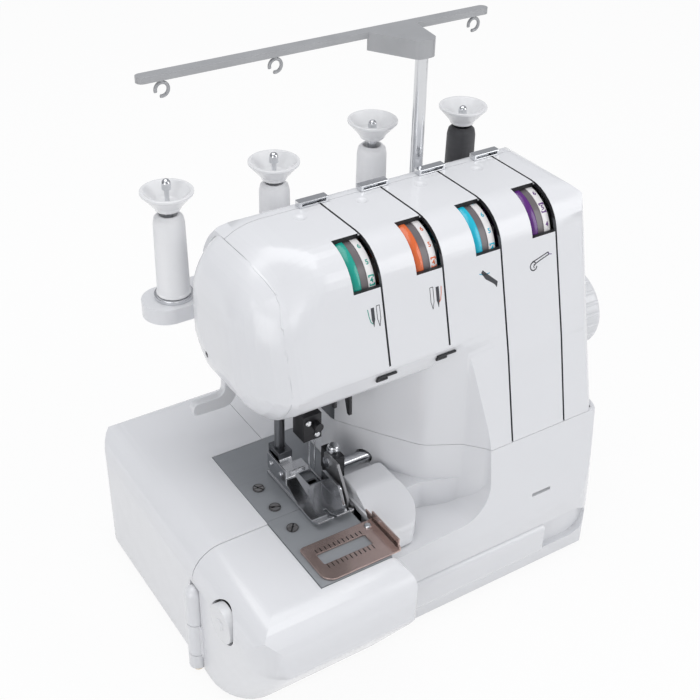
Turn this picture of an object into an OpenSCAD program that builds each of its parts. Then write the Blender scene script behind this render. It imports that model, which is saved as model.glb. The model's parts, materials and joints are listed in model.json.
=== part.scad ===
// Four-thread overlock machine (serger), built as separate covers, frame, drive and stitching parts.
// Working axes: X to the operator's right, Y to the back, Z up, with Z = 0 on the table.
// The last step shifts everything so that the origin is the bottom centre of the whole machine.

/* [Body] */
// Height of the top deck above the table
body_h = 285; // [275:1:300]
// Height of the sewing bed above the table
bed_h = 99; // [96:1:104]
// Height of the seam between the upper and lower front covers
seam_z = 128; // [122:1:134]
// Right side wall
right_x = 148; // [142:1:160]
// Left side wall of the bed
bed_left_x = -150; // [-158:1:-148]
// Back of the base
base_back_y = 200; // [190:1:215]
// Back of the column and the head
upper_back_y = 134; // [132:1:140]
// Back edge of the flat top deck, where the front and rear covers meet
deck_back_y = 103; // [100:1:106]
// Wall thickness of the plastic covers
wall = 3; // [2.2:0.1:3.2]
// Gap between neighbouring covers
panel_gap = 0.4; // [0.3:0.1:0.8]
// Height of the rubber feet below the base
foot_h = 4; // [3:0.5:6]
// Diameter of the rubber feet
foot_d = 22; // [16:1:28]

/* [Head] */
// Left end of the head
head_left_x = -107; // [-110:1:-104]
// Seam of the head's end cover
end_seam_x = -87; // [-90:1:-84]
// Height of the head's front face, from its lower crease to the top deck
head_h = 75.5; // [73:0.5:78]
// How far the belly around the needle bar hangs into the throat, as a share of the throat's height
belly_share = 0.31; // [0.24:0.005:0.34]
// Height of the lip from the crease down to the throat's ceiling
lip_drop = 19; // [16:0.5:21]
// Radius of the head's left end, seen from above
head_plan_r = 40; // [30:1:42]
// Radius of the head's upper left end, seen from the front
head_top_r = 44; // [30:1:46]
// Radius of the dome that blends the corners of the head's left end
head_dome_r = 42; // [36:1:46]
// Radius of the rounded front corner of the column
corner_r = 22; // [12:1:26]

/* [Column niche] */
// Left edge of the column's front face
column_left_x = 52; // [46:1:58]
// Bottom of the niche beside the knife cover
niche_floor_z = 72; // [66:1:80]

/* [Base front] */
// Bottom and top of the long bumper channel
channel_z0 = 17; // [14:1:19]
// Top of the bumper channel
channel_z1 = 45; // [42:1:48]
// Right end of the bumper channel
channel_x1 = 141; // [136:1:142]
// Right end of the bumper bar in the channel
bumper_x1 = 103; // [90:1:110]

/* [Looper cover] */
// Right end of the looper cover
door_right_x = -36; // [-37:0.5:-35]
// Seam between the looper cover and the bed cover
door_back_y = 43; // [42:0.5:44]
// Foremost point of the looper cover
door_front_y = -48; // [-54:1:-44]
// Hinge axis of the looper cover, in X
hinge_x = -151; // [-152:0.5:-150]
// Hinge axis of the looper cover, in Y
hinge_y = 40; // [39:0.5:41]
// Outer radius of the hinge knuckles
knuckle_r = 6; // [5:0.5:7]
// Distance from the bed's top down to the top of the hinge barrel
barrel_drop = 24; // [19:1:29]
// Radius of the hinge pin
hinge_pin_r = 2; // [1.5:0.1:2.5]

/* [Cloth plates] */
// Left edge of the steel plates
plate_left_x = -94; // [-96:0.5:-92]
// Right edge of the needle plate
plate_right_x = -27; // [-29:0.5:-25]
// Front edge of the cloth plate
plate_front_y = -23; // [-25:0.5:-20]
// Back edge of the needle plate
plate_back_y = 122; // [116:1:126]
// Seam between the cloth plate and the needle plate
plate_seam_y = 45; // [44.5:0.5:46]
// Thickness of both plates
plate_t = 2; // [1.5:0.1:2.4]
// Diameter of the plate screws
plate_screw_d = 8; // [6:0.5:9]

/* [Seam guide] */
// Length of the seam guide along X
guide_len = 55; // [48:1:56]
// Width of the seam guide along Y
guide_w = 34; // [28:1:36]
// Thickness of the guide's sheet
guide_t = 1.2; // [0.8:0.1:1.6]

/* [Needle and presser] */
// Needle bar position in X
needle_bar_x = -52; // [-53:0.5:-51]
// Needle bar position in Y
needle_bar_y = 70; // [68:0.5:72]
// Diameter of the needle bar
needle_bar_d = 6.4; // [5.5:0.1:7]
// Height of the needle tips above the bed at the top of their stroke
needle_gap = 8; // [6:0.5:9]
// Distance between the two needles
needle_pitch = 4; // [3:0.5:5]
// Presser bar position in X
presser_bar_x = -64; // [-65:0.5:-63]
// Presser bar position in Y
presser_bar_y = 80; // [78:0.5:82]
// Diameter of the presser bar
presser_bar_d = 7; // [6:0.1:8]
// Width of the presser foot
foot_w = 27; // [24:0.5:28]
// Radial clearance of shafts and rods in their bores
run_clear = 0.05; // [0.03:0.01:0.09]

/* [Tension dials] */
// Distance between neighbouring thread channels
channel_pitch = 45; // [44:0.5:46]
// First thread channel in X
first_channel_x = -20; // [-22:0.5:-18]
// Width of a thread channel
channel_w = 1.4; // [1:0.1:2]
// Radius of the tension dials
dial_r = 26.5; // [24:0.25:26.75]
// Thickness of the tension dials
dial_w = 15.5; // [14:0.5:16]
// Width of the dial windows
window_w = 19.5; // [18.5:0.5:21]

/* [Thread stand] */
// Distance between neighbouring spool pins
pin_pitch = 76; // [70:1:80]
// First spool pin in X
first_pin_x = -100; // [-104:1:-96]
// Spool pins in Y
pin_y = 153; // [150:1:156]
// Depth of the spool tray's top below the top deck
tray_drop = 69; // [64:1:74]
// Thickness of the spool tray
tray_t = 11; // [8:1:14]
// Half width of the spool tray
tray_r = 16; // [14:1:18]
// Diameter of the thread cops
cop_d = 21; // [18:1:26]
// Height of the thread cops
cop_h = 57; // [50:1:60]
// Diameter of the funnel caps
cap_d = 34; // [28:1:36]
// Mast position in X
mast_x = 67; // [62:1:72]
// Mast position in Y
mast_y = 122; // [120:0.5:123]
// Diameter of the telescoping inner mast
mast_d = 8.5; // [7:0.5:9]
// Underside of the thread guide bar
bar_z = 366; // [360:1:372]
// Length of the thread guide bar
bar_len = 254; // [240:1:270]

/* [Drive] */
// Main shaft position in Y
shaft_y = 66; // [64:1:70]
// Main shaft position in Z
shaft_z = 170; // [164:1:174]
// Diameter of the main shaft
shaft_d = 10; // [8:0.5:12]
// Radius of the handwheel
wheel_r = 30; // [26:1:34]
// Outer face of the handwheel
wheel_x1 = 175; // [172:1:180]
// Motor position in Y
motor_y = 138; // [134:1:140]
// Motor position in Z
motor_z = 50; // [48:1:54]
// Radius of the motor
motor_r = 27; // [24:1:29]
// Radius of the driven pulley
driven_r = 21; // [18:0.5:22]
// Radius of the motor pulley
motor_pulley_r = 7; // [6:0.5:9]

/* [Hidden] */
$fn = 64;

far = 400;
base_z = foot_h;
head_bottom_z = body_h - head_h;
belly_z = head_bottom_z - belly_share * (head_bottom_z - bed_h);
ceil_z = head_bottom_z - lip_drop;
barrel_top_z = bed_h - barrel_drop;
tray_z = body_h - tray_drop;
needle_tip_z = bed_h + needle_gap;
pan_t = 4;
seat = 0.3;
frame_z = base_z + pan_t + 2;
frame_t = 6;
inner = wall + panel_gap;

// Origin of the finished machine: the centre of its footprint on the table
x_low = hinge_x - knuckle_r;
x_high = wheel_x1;
origin_x = (x_low + x_high) / 2;
origin_y = (door_front_y + base_back_y) / 2;

// Rounded outlines. A corner is [u, v, radius]; outlines run anticlockwise.
function unit(v) = v / norm(v);
function flat(c) = [c[0], c[1]];
function fillet(a, p, b, r, n) =
  r <= 0 ? [p] :
  let (u = unit(a - p), v = unit(b - p), half = acos(u * v) / 2)
  let (centre = p + unit(u + v) * r / sin(half))
  let (start = p + u * r / tan(half) - centre, finish = p + v * r / tan(half) - centre)
  let (a0 = atan2(start[1], start[0]), turn = atan2(finish[1], finish[0]) - a0)
  let (sweep = turn > 180 ? turn - 360 : turn < -180 ? turn + 360 : turn)
  [for (k = [0:n]) centre + r * [cos(a0 + sweep * k / n), sin(a0 + sweep * k / n)]];
function rounded(c, n = 8) =
  [for (i = [0:len(c) - 1])
    each fillet(flat(c[(i + len(c) - 1) % len(c)]), flat(c[i]), flat(c[(i + 1) % len(c)]), c[i][2], n)];

// The same outline moved inwards by t, or outwards where t is negative
function left_of(v) = [-v[1], v[0]];
function turn_of(e, f) = e[0] * f[1] - e[1] * f[0];
function moved_corner(a, p, b, r, t) =
  let (e = unit(p - a), f = unit(b - p), n = left_of(e), m = left_of(f))
  let (q = p + (n + m) * t / (1 + n * m))
  [q[0], q[1], r <= 0 ? 0 : turn_of(e, f) > 0 ? max(r - t, 0.5) : max(r + t, 0.5)];
function inset(c, t) =
  [for (i = [0:len(c) - 1])
    moved_corner(flat(c[(i + len(c) - 1) % len(c)]), flat(c[i]), flat(c[(i + 1) % len(c)]), c[i][2], t)];

module along_x(x0, x1, points) {
  translate([x0, 0, 0]) rotate([90, 0, 90]) linear_extrude(x1 - x0) polygon(points);
}
module along_y(y0, y1, points) {
  translate([0, y1, 0]) rotate([90, 0, 0]) linear_extrude(y1 - y0) polygon(points);
}
module along_z(z0, z1, points) {
  translate([0, 0, z0]) linear_extrude(z1 - z0) polygon(points);
}
module block(low, high) {
  translate(low) cube(high - low);
}
module rod_x(x0, x1, y, z, r) {
  translate([x0, y, z]) rotate([0, 90, 0]) cylinder(h = x1 - x0, r = r);
}
module rod_y(y0, y1, x, z, r) {
  translate([x, y1, z]) rotate([90, 0, 0]) cylinder(h = y1 - y0, r = r);
}
module rod_z(z0, z1, x, y, r) {
  translate([x, y, z0]) cylinder(h = z1 - z0, r = r);
}
module placed() {
  translate([-origin_x, -origin_y, 0]) children();
}

// ---- Upper casing: one closed form that the front, end and rear covers are cut from ----
face_low_y = 0.4;
face_mid_y = 14;
face_mid_z = seam_z + 62;
face_top_y = face_mid_y + (body_h - face_mid_z) * 0.2535;
face_slope = (face_top_y - face_mid_y) / (body_h - face_mid_z);
function face_y(z) = face_mid_y + (z - face_mid_z) * face_slope;
face_tilt = atan2(face_top_y - face_low_y, body_h - seam_z);
dial_y = face_top_y + 24;
dial_z = body_h - 30;
column_back_x = -20;
belly_right_x = -60;
belly_step_x = -48;
crease_y = face_y(head_bottom_z);
lip_slope = 0.428;
lip_tilt = atan(lip_slope);

function upper_side(t) = inset([
  [face_low_y, seam_z - (t > 0 ? 20 : 0), 0],
  [upper_back_y, seam_z - (t > 0 ? 20 : 0), 0],
  [upper_back_y, body_h - 24, 14],
  [deck_back_y + 8, body_h, 12],
  [face_top_y, body_h, 30],
  [face_mid_y, face_mid_z, 150]], t);
function upper_front(t) = inset([
  [column_back_x, seam_z - (t > 0 ? 20 : 0), 0],
  [right_x, seam_z - (t > 0 ? 20 : 0), 0],
  [right_x, body_h, 22],
  [head_left_x, body_h, head_top_r],
  [head_left_x, belly_z, 34],
  [belly_right_x, belly_z, 12],
  [belly_step_x, ceil_z, 6],
  [column_back_x, ceil_z, 0]], t);
// Below the crease the front falls back as a lip and rounds into the belly
function head_side(t) = inset([
  [crease_y - 36 * lip_slope, head_bottom_z + 36, 0],
  [crease_y + 17 * lip_slope, head_bottom_z - 17, 16],
  [50, belly_z, 24],
  [upper_back_y, belly_z, 34],
  [upper_back_y, far, 0],
  [crease_y - 36 * lip_slope, far, 0]], t);
module lip(t) {
  intersection() {
    along_x(column_back_x - 20, right_x, rounded(head_side(t)));
    block([-far, -far, ceil_z + t], [far, far, far]);
  }
}
function plan_box(x0, x1, y0, y1, r_front, r_back, t) = inset([
  [x0, y0, r_front], [x1, y0, r_front], [x1, y1, r_back], [x0, y1, r_back]], t);
// The same with its own radius at the right front corner
function skew_box(x0, x1, y0, y1, r_left, r_right, t) = inset([
  [x0, y0, r_left], [x1, y0, r_right], [x1, y1, 0], [x0, y1, 0]], t);

function niche_plan(t) = inset([
  [column_back_x - 8, -60, 0], [column_left_x + 1, -60, 0], [column_left_x, 2, 8], [column_left_x - 12, 16, 12],
  [16, 29, 26], [-1, 54, 26], [column_back_x, 84, 14], [column_back_x, 150, 0], [column_back_x - 8, 150, 0]], -t);
function niche_front(t) = inset([
  [-90, niche_floor_z, 0], [column_left_x, niche_floor_z + 6, 25], [column_left_x, head_bottom_z, 15],
  [-90, head_bottom_z, 0]], -t);
module niche(t) {
  difference() {
    intersection() {
      along_z(bed_h - t, far, rounded(niche_plan(t)));
      along_y(-60, 150, rounded(niche_front(t)));
    }
    lip(t);
  }
}
pocket_back_y = 26;
module lower_niche(t) {
  low_plan = inset([
    [cover_x0 - 0.6, -60, 0], [column_left_x + 1, -60, 0], [column_left_x, 2, 8],
    [column_left_x - 12, 16, 12], [14, pocket_back_y, 12], [cover_x0 - 0.6, pocket_back_y, 0]], -t);
  intersection() {
    along_z(0, bed_h, rounded(low_plan));
    along_y(-60, 150, rounded(niche_front(t)));
  }
}

// Turned form around the head's length, which blends its left corners into one dome
module head_dome(t) {
  reach = (body_h - belly_z) * 0.61 - t;
  union() {
    translate([0, (crease_y + upper_back_y) / 2 + 2, (body_h + belly_z) / 2])
      rotate([90, 0, 90]) rotate_extrude() polygon(rounded([
        [0, head_left_x + t, 0], [reach, head_left_x + t, head_dome_r - t],
        [reach, belly_right_x, 0], [0, belly_right_x, 0]]));
    block([belly_right_x - wall - 1, -far, 0], [far, far, far]);
  }
}

module upper_form(t) {
  difference() {
    intersection() {
      along_x(-far, far, rounded(upper_side(t)));
      along_y(-far, far, rounded(upper_front(t)));
      translate([0, face_low_y, seam_z]) rotate([-face_tilt, 0, 0])
        along_z(-100, 300, rounded(inset([[head_left_x, -3, head_plan_r], [right_x, -3, corner_r],
          [right_x, far, 0], [head_left_x, far, 0]], t)));
      along_z(0, far, rounded(inset([[head_left_x, -far, 0], [right_x, -far, 0],
        [right_x, upper_back_y, 18], [head_left_x, upper_back_y, 22]], t)));
      union() {
        block([column_back_x - 0.01, -far, 0], [far, far, far]);
        along_x(-far, column_back_x, rounded(head_side(t)));
      }
      head_dome(t);
    }
    niche(t);
  }
}
module upper_shell() {
  difference() {
    upper_form(0);
    upper_form(wall);
  }
}

channels = [for (i = [0:3]) first_channel_x + i * channel_pitch];
channel_depth = wall / 2;
// The two left channels stop at the head's lower edge, the two right ones at the cover seam
function channel_end(i) = i < 2 ? head_bottom_z + 1.5 : seam_z;

module thread_channel(i) {
  x0 = channels[i] - channel_w / 2;
  intersection() {
    translate([x0, 0, 0]) rotate([90, 0, 90]) linear_extrude(channel_w) difference() {
      polygon(rounded(upper_side(-1)));
      polygon(rounded(upper_side(channel_depth)));
    }
    block([x0, -20, channel_end(i)], [x0 + channel_w, deck_back_y + 1, far]);
  }
}
window_top_y = dial_y - 4;
window_low_z = dial_z + 6;
module dial_window(i) {
  block([channels[i] - window_w, -20, window_low_z], [channels[i] + channel_w / 2, window_top_y, far]);
}
dimple_r = 5;
module deck_dimple(i) {
  translate([channels[i] - 20, deck_back_y - 10, body_h + 10.5]) sphere(r = 11.5);
}

bar_hole_r = 6.5;
module bar_openings() {
  rod_z(belly_z - 5, belly_z + 30, needle_bar_x, needle_bar_y, bar_hole_r);
  rod_z(belly_z - 5, belly_z + 30, presser_bar_x, presser_bar_y, bar_hole_r);
}

module upper_cover() {
  color("white") placed() difference() {
    intersection() {
      upper_shell();
      block([end_seam_x + panel_gap, -far, seam_z], [far, deck_back_y, far]);
    }
    for (i = [0:3]) {
      thread_channel(i);
      dial_window(i);
      deck_dimple(i);
    }
    bar_openings();
    block([take_x0 - 3, 40, ceil_z - 8], [take_x1 + 3, 92, ceil_z + 5]);
    rod_x(right_x - 20, right_x + 20, shaft_y, shaft_z, shaft_d / 2 + 3);
  }
}

module head_end_cover() {
  color("white") placed() difference() {
    intersection() {
      upper_shell();
      block([-far, -far, 0], [end_seam_x, far, far]);
    }
    for (p = end_screws) rod_x(head_left_x - 5, head_left_x + p[2] + 10, p[0], p[1], screw_r + 0.6);
  }
}

module rear_cover() {
  color("white") placed() {
    difference() {
      union() {
        intersection() {
          upper_shell();
          block([end_seam_x + panel_gap, deck_back_y + panel_gap, seam_z], [far, far, far]);
        }
        intersection() {
          difference() {
            rear_form(0);
            rear_form(wall);
          }
          block([bed_split_x + panel_gap, deck_back_y + panel_gap, 0], [far, far, seam_z]);
        }
      }
      rod_z(body_h - 60, body_h + 10, mast_x, mast_y, mast_d / 2 + 2.2);
      rod_y(deck_back_y, upper_back_y + 5, lever_pivot_x, lever_z, lever_shaft_r + 1);
      block([-far, -far, bed_h - 30], [plate_right_x + panel_gap, plate_back_y + panel_gap, bed_h + 1]);
    }
  }
}

// ---- Lower casing ----
bed_split_x = -55;
bulge_y = -8.5;
bulge_z = 60;
function lower_side(t) =
  let (drop = t > 0 ? 20 : 0, lean = (face_low_y - bulge_y) / (seam_z - bulge_z))
  inset([
    [-3, base_z - drop, 0],
    [upper_back_y, base_z - drop, 0],
    [upper_back_y, seam_z + drop, 0],
    [face_low_y + lean * drop, seam_z + drop, 0],
    [bulge_y, bulge_z, 60]], t);
module lower_form(t) {
  difference() {
    intersection() {
      along_x(-far, far, rounded(lower_side(t)));
      along_z(-far, far, rounded(plan_box(door_right_x + panel_gap - (t > 0 ? 20 : 0), right_x, bulge_y, far,
        corner_r, 0, t)));
    }
    block([-far, -far, bed_h - t], [column_back_x + t, far, far]);
    niche(t);
    lower_niche(t);
  }
}
module lower_cover() {
  color("white") placed() difference() {
    intersection() {
      union() {
        difference() {
          lower_form(0);
          lower_form(wall);
        }
        intersection() {
          lower_form(0);
          block([door_right_x + panel_gap, -20, channel_z0 - wall], [channel_x1 + 2, channel_back_y + wall, channel_z1 + wall]);
        }
      }
      block([-far, -far, 0], [far, deck_back_y, seam_z - panel_gap]);
    }
    bumper_channel();
    block([slot_x1 - slot_len, -20, slot_z], [slot_x1, 0, slot_z + slot_h]);
    block([-far, plate_seam_y - 1, bed_h - 20], [plate_right_x + panel_gap, far, far]);
    rod_x(column_back_x - 10, column_left_x, knife_y, knife_z, knife_shaft_r + 1.5);
    // open side towards the looper bay, behind the front skin
    block([-far, 12, -far], [door_right_x + wall + 2, far, bed_h - 4]);
    block([right_x - 10, inlet_y - inlet_w / 2, inlet_z - inlet_h / 2],
      [right_x + 10, inlet_y + inlet_w / 2, inlet_z + inlet_h / 2]);
    block([right_x - 10, switch_y - switch_w / 2, inlet_z - switch_h / 2],
      [right_x + 10, switch_y + switch_w / 2, inlet_z + switch_h / 2]);
  }
}
// Small blind slot above the channel
slot_x1 = channel_x1 - 37;
slot_len = 15.5;
slot_z = channel_z1 + 31;
slot_h = 2.6;
channel_r = (channel_z1 - channel_z0) / 2;
channel_back_y = 0.5;
module bumper_channel() {
  rod_y(-30, channel_back_y, channel_x1 - channel_r, channel_z0 + channel_r, channel_r);
  block([-far, -30, channel_z0], [channel_x1 - channel_r, channel_back_y, channel_z1]);
}

module bumper_bar() {
  bar_z0 = channel_z0 + seat;
  bar_z1 = channel_z1 - seat;
  color("white") placed() along_x(door_right_x + panel_gap, bumper_x1, rounded([
    [bulge_y, bar_z0, 5], [channel_back_y, bar_z0, 0], [channel_back_y, bar_z1, 0], [bulge_y - 1, bar_z1, 5]]));
}

function rear_side(t) = inset([
  [0, base_z - (t > 0 ? 20 : 0), 0],
  [base_back_y, base_z - (t > 0 ? 20 : 0), 0],
  [base_back_y, bed_h, 14],
  [0, bed_h, 0]], t);
module rear_form(t) {
  difference() {
    union() {
      intersection() {
        along_x(-far, far, rounded(rear_side(t)));
        along_z(-far, far, rounded(plan_box(bed_left_x, right_x, -far, base_back_y, 0, 20, t)));
      }
      along_z(t > 0 ? -far : base_z, t > 0 ? far : seam_z,
        rounded(plan_box(column_back_x, right_x, 20, upper_back_y, 0, 18, t)));
    }
  }
}

module bed_form(t) {
  drop = t > 0 ? 20 : 0;
  intersection() {
    along_y(-far, far, rounded(inset([
      [bed_left_x, base_z - drop, 0], [far, base_z - drop, 0], [far, bed_h, 0], [bed_left_x, bed_h, 22]], t)));
    along_x(-far, far, rounded(rear_side(t)));
    along_z(-far, far, rounded(plan_box(bed_left_x, far, -far, base_back_y, 0, 24, t)));
  }
}
knuckle_z = [base_z + 1, base_z + 13, base_z + 41, barrel_top_z];
module fixed_knuckle(z0, z1) {
  rod_z(z0, z1, hinge_x, hinge_y, knuckle_r);
  block([hinge_x - 1, hinge_y, z0], [hinge_x + knuckle_r, door_back_y + panel_gap + 3, z1]);
}
module bed_cover() {
  color("white") placed() difference() {
    union() {
      difference() {
        intersection() {
          difference() {
            bed_form(0);
            bed_form(wall);
          }
          block([-far, door_back_y + panel_gap, 0], [bed_split_x, far, far]);
        }
        block([plate_left_x - panel_gap, -far, bed_h - 30], [far, plate_back_y + panel_gap, far]);
        rod_z(0, barrel_top_z + 1, hinge_x, hinge_y, knuckle_r + 0.6);
      }
      fixed_knuckle(knuckle_z[0], knuckle_z[1]);
      intersection() {
        fixed_knuckle(knuckle_z[2], knuckle_z[3]);
        union() {
          block([-far, -far, 0], [far, far, barrel_top_z - knuckle_r]);
          translate([hinge_x, hinge_y, barrel_top_z - knuckle_r]) sphere(r = knuckle_r);
          block([-far, door_back_y + panel_gap, 0], [far, far, barrel_top_z - knuckle_r]);
        }
      }
    }
    rod_z(-1, barrel_top_z - knuckle_r, hinge_x, hinge_y, hinge_pin_r + run_clear);
  }
}
module hinge_pin() {
  color("silver") placed() {
    rod_z(base_z - 2, barrel_top_z - knuckle_r - 1, hinge_x, hinge_y, hinge_pin_r);
    rod_z(base_z - 2, base_z + 0.8, hinge_x, hinge_y, hinge_pin_r + 2);
  }
}

// ---- Looper cover: opens to the left on its upright hinge ----
door_h = bed_h - 0.7;
function door_side(t) = inset([
  [door_low_y, base_z - (t > 0 ? 20 : 0), 0],
  [door_back_y + (t > 0 ? 20 : 0), base_z - (t > 0 ? 20 : 0), 0],
  [door_back_y + (t > 0 ? 20 : 0), door_h, 0],
  [door_front_y, door_h, 24],
  [door_front_y, door_bulge_z, 20]], t);
door_low_y = -8;
door_end_r = 7;
door_bulge_z = bed_h - 37;
door_tilt = atan2(door_low_y - door_front_y, door_bulge_z - base_z);
module door_form(t) {
  drop = t > 0 ? 20 : 0;
  intersection() {
    translate([0, door_low_y, base_z]) rotate([door_tilt, 0, 0])
      along_z(-100, 200, rounded(skew_box(bed_left_x, door_right_x, 0, far, 26, door_end_r, t)));
    along_x(-far, far, rounded(door_side(t)));
    along_y(-far, far, rounded(inset([
      [bed_left_x, base_z - drop, 0], [door_right_x, base_z - drop, 0], [door_right_x, door_h, 9],
      [bed_left_x, door_h, 22]], t)));
    along_z(-far, far, rounded(inset([
      [bed_left_x, door_front_y, 26], [door_right_x, door_front_y, door_end_r],
      [door_right_x, door_back_y + drop, 0], [bed_left_x, door_back_y + drop, 0]], t)));
  }
}
module looper_cover() {
  color("white") placed() difference() {
    union() {
      difference() {
        door_form(0);
        door_form(wall);
        block([plate_left_x - panel_gap, plate_front_y - panel_gap, bed_h - 10], [far, far, far]);
        block([door_right_x - 5, face_low_y - 10, 0], [far, far, far]);
        rod_z(0, barrel_top_z + 1, hinge_x, hinge_y, knuckle_r + 0.6);
        rod_x(bed_left_x - 5, bed_left_x + 12, length_dial_y, length_dial_z, length_dial_r + 1.5);
        // notch over the corner of the base pan
        block([door_right_x - 20, 1, 0], [door_right_x, door_back_y + 1, base_z + pan_t + 1]);
      }
      rod_z(knuckle_z[1] + 0.5, knuckle_z[2] - 0.5, hinge_x, hinge_y, knuckle_r);
      block([hinge_x, hinge_y - knuckle_r - 3, knuckle_z[1] + 0.5],
        [bed_left_x + wall, hinge_y, knuckle_z[2] - 0.5]);
    }
    rod_z(-1, barrel_top_z, hinge_x, hinge_y, hinge_pin_r + run_clear);
  }
}

length_dial_y = 2;
length_dial_z = bed_h - 23;
length_dial_r = 13;
dial_wall_x = bed_left_x + 16;
module length_dial() {
  color("white") placed() {
    rod_x(bed_left_x - 1.5, bed_left_x + 5, length_dial_y, length_dial_z, length_dial_r);
    rod_x(bed_left_x + 4, dial_wall_x + 6, length_dial_y, length_dial_z, 3);
    rod_x(bed_left_x - 2.5, bed_left_x - 1, length_dial_y, length_dial_z, 4);
  }
}

// ---- Base ----
feet = [[-128, 24], [-128, 178], [128, 20], [128, 178]];
module base_pan() {
  color("gainsboro") placed() difference() {
    along_z(base_z, base_z + pan_t, rounded(plan_box(bed_left_x + inner + 3, right_x - inner - 1,
      3, base_back_y - inner - 1, 24, 24, 0)));
    for (p = feet) rod_z(0, base_z + 2, p[0], p[1], foot_d / 2 - 2 + 0.01);
  }
}
module rubber_feet() {
  color("dimgray") placed() for (p = feet) {
    rod_z(0, base_z, p[0], p[1], foot_d / 2);
    rod_z(base_z - 0.01, base_z + 2, p[0], p[1], foot_d / 2 - 2);
  }
}

// ---- Frame: base plate, column plates, arm, dial brackets and bearing bosses ----
column_x0 = 76;
column_x1 = 122;
plate_w = 5;
arm_z0 = head_bottom_z + 4;
arm_z1 = arm_z0 + 9.5;
bar_boss_r = 7;
bearing_r = shaft_d / 2 + 3;
upper_bush_z = arm_z1 + 5;
bar_bosses = [[needle_bar_x, needle_bar_y, belly_z + 30], [presser_bar_x, presser_bar_y, belly_z + 22]];
spring_seat_z = body_h - 23;
module frame_solid() {
  // base plate and the column's two bearing plates
  along_z(frame_z, frame_z + frame_t, rounded(plan_box(-136, 132, 12, base_back_y - 20, 6, 6, 0)));
  for (x = [column_x0, column_x1]) block([x, 44, frame_z + 1], [x + plate_w, 104, arm_z1]);
  for (x = [-120, 110]) block([x, 30, base_z + pan_t], [x + 16, 170, frame_z + 1]);
  // arm to the head, with the bar bosses
  block([-80, 60, arm_z0], [column_x1 + plate_w, 100, arm_z1]);
  for (p = bar_bosses) rod_z(p[2], upper_bush_z, p[0], p[1], bar_boss_r);
  // post and bracket that the presser spring pushes against
  block([presser_bar_x - 8, 91, arm_z0], [presser_bar_x + 8, 97, spring_seat_z + 5]);
  block([presser_bar_x - 8, presser_bar_y - 8, spring_seat_z], [presser_bar_x + 8, 97, spring_seat_z + 5]);
  // bearing of the lifter lever
  block([lever_pivot_x - 7, 96, lever_z - 5], [lever_pivot_x + 7, 104, arm_z1]);
  // posts of the needle rocker's shaft
  for (x = rocker_posts) block([x, rocker_y - 10, arm_z0], [x + 6, rocker_y + 7, rocker_z + 8]);
  // rail under the feed bar, and the upper looper's bearing
  block([dog_x[0][0] + 2, 84, bed_h - 24], [dog_x[1][1] - 2, 101, bed_h - 18 - seat]);
  block([upper_pivot[0] - 6, 100, frame_z + 1], [upper_pivot[0] + 8, 106, upper_pivot[1] + 16]);
  // bed wall under the plates and the looper bearing block
  block([plate_left_x + 3, 50, frame_z + 1], [plate_left_x + 3 + plate_w, 118, bed_h - plate_t]);
  block([plate_left_x + 3, 100, frame_z + 1], [plate_right_x - 3, 106, bed_h - plate_t]);
  block([plate_left_x + 3, -16, bed_h - plate_t - 8], [plate_left_x + 15, 84, bed_h - plate_t]);
  block([column_back_x + 34, knife_y - 8, frame_z + 1], [column_back_x + 40, knife_y + 26, knife_z + 8]);
  // outrigger for the length dial
  block([dial_wall_x, -8, length_dial_z - 8], [dial_wall_x + 4, 60, length_dial_z + 8]);
  block([dial_wall_x, 44, frame_z + 1], [dial_wall_x + 4, 60, length_dial_z + 8]);
  // upright for the mast
  block([mast_x - 7, mast_y - 22, arm_z0], [mast_x + 7, mast_y + 6, arm_z0 + 24]);
  // brackets of the tension studs
  for (x = channels)
    block([x + 7, dial_y - 8, arm_z1 - 1], [x + 7 + stud_wall, dial_y + 8, dial_z + 8]);
}
stud_wall = 5;
stud_r = 2.5;
module inner_frame() {
  color("lightslategray") placed() difference() {
    frame_solid();
    for (x = [column_x0, column_x1])
      rod_x(x - 1, x + plate_w + 1, shaft_y, shaft_z, bearing_r);
    rod_z(0, far, needle_bar_x, needle_bar_y, needle_bar_d / 2 + run_clear);
    rod_z(0, spring_seat_z - 1, presser_bar_x, presser_bar_y, presser_bar_d / 2 + run_clear);
    block([take_x0 - 2, 40, arm_z0 - 10], [take_x1 + 2, 90, arm_z1 + 1]);
    rod_x(take_x0 - 10, take_x1 + 10, take_y, take_z, take_r + run_clear);
    rod_y(90, 110, lever_pivot_x, lever_z, lever_shaft_r + run_clear);
    rod_x(rocker_posts[0] - 1, rocker_posts[1] + 7, rocker_y, rocker_z, rocker_r + run_clear);
    for (p = [lower_pivot, upper_pivot]) rod_y(98, 108, p[0], p[1], looper_shaft_r + run_clear);
    rod_x(column_back_x + 30, column_back_x + 44, knife_y, knife_z, knife_shaft_r + run_clear);
    rod_x(dial_wall_x - 2, dial_wall_x + 8, length_dial_y, length_dial_z, 3 + run_clear);
    rod_z(arm_z0 - 1, far, mast_x, mast_y, mast_outer_r);
    for (x = channels) rod_x(x, x + 20, dial_y, dial_z, stud_r);
    for (p = plate_screw_xy) rod_z(bed_h - 10, bed_h, p[0], p[1], screw_r);
  }
}
module shaft_bushes() {
  color("darkgoldenrod") placed() for (x = [column_x0, column_x1]) difference() {
    rod_x(x - 1, x + plate_w + 1, shaft_y, shaft_z, bearing_r);
    rod_x(x - 2, x + plate_w + 2, shaft_y, shaft_z, shaft_d / 2 + run_clear);
  }
}

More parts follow.
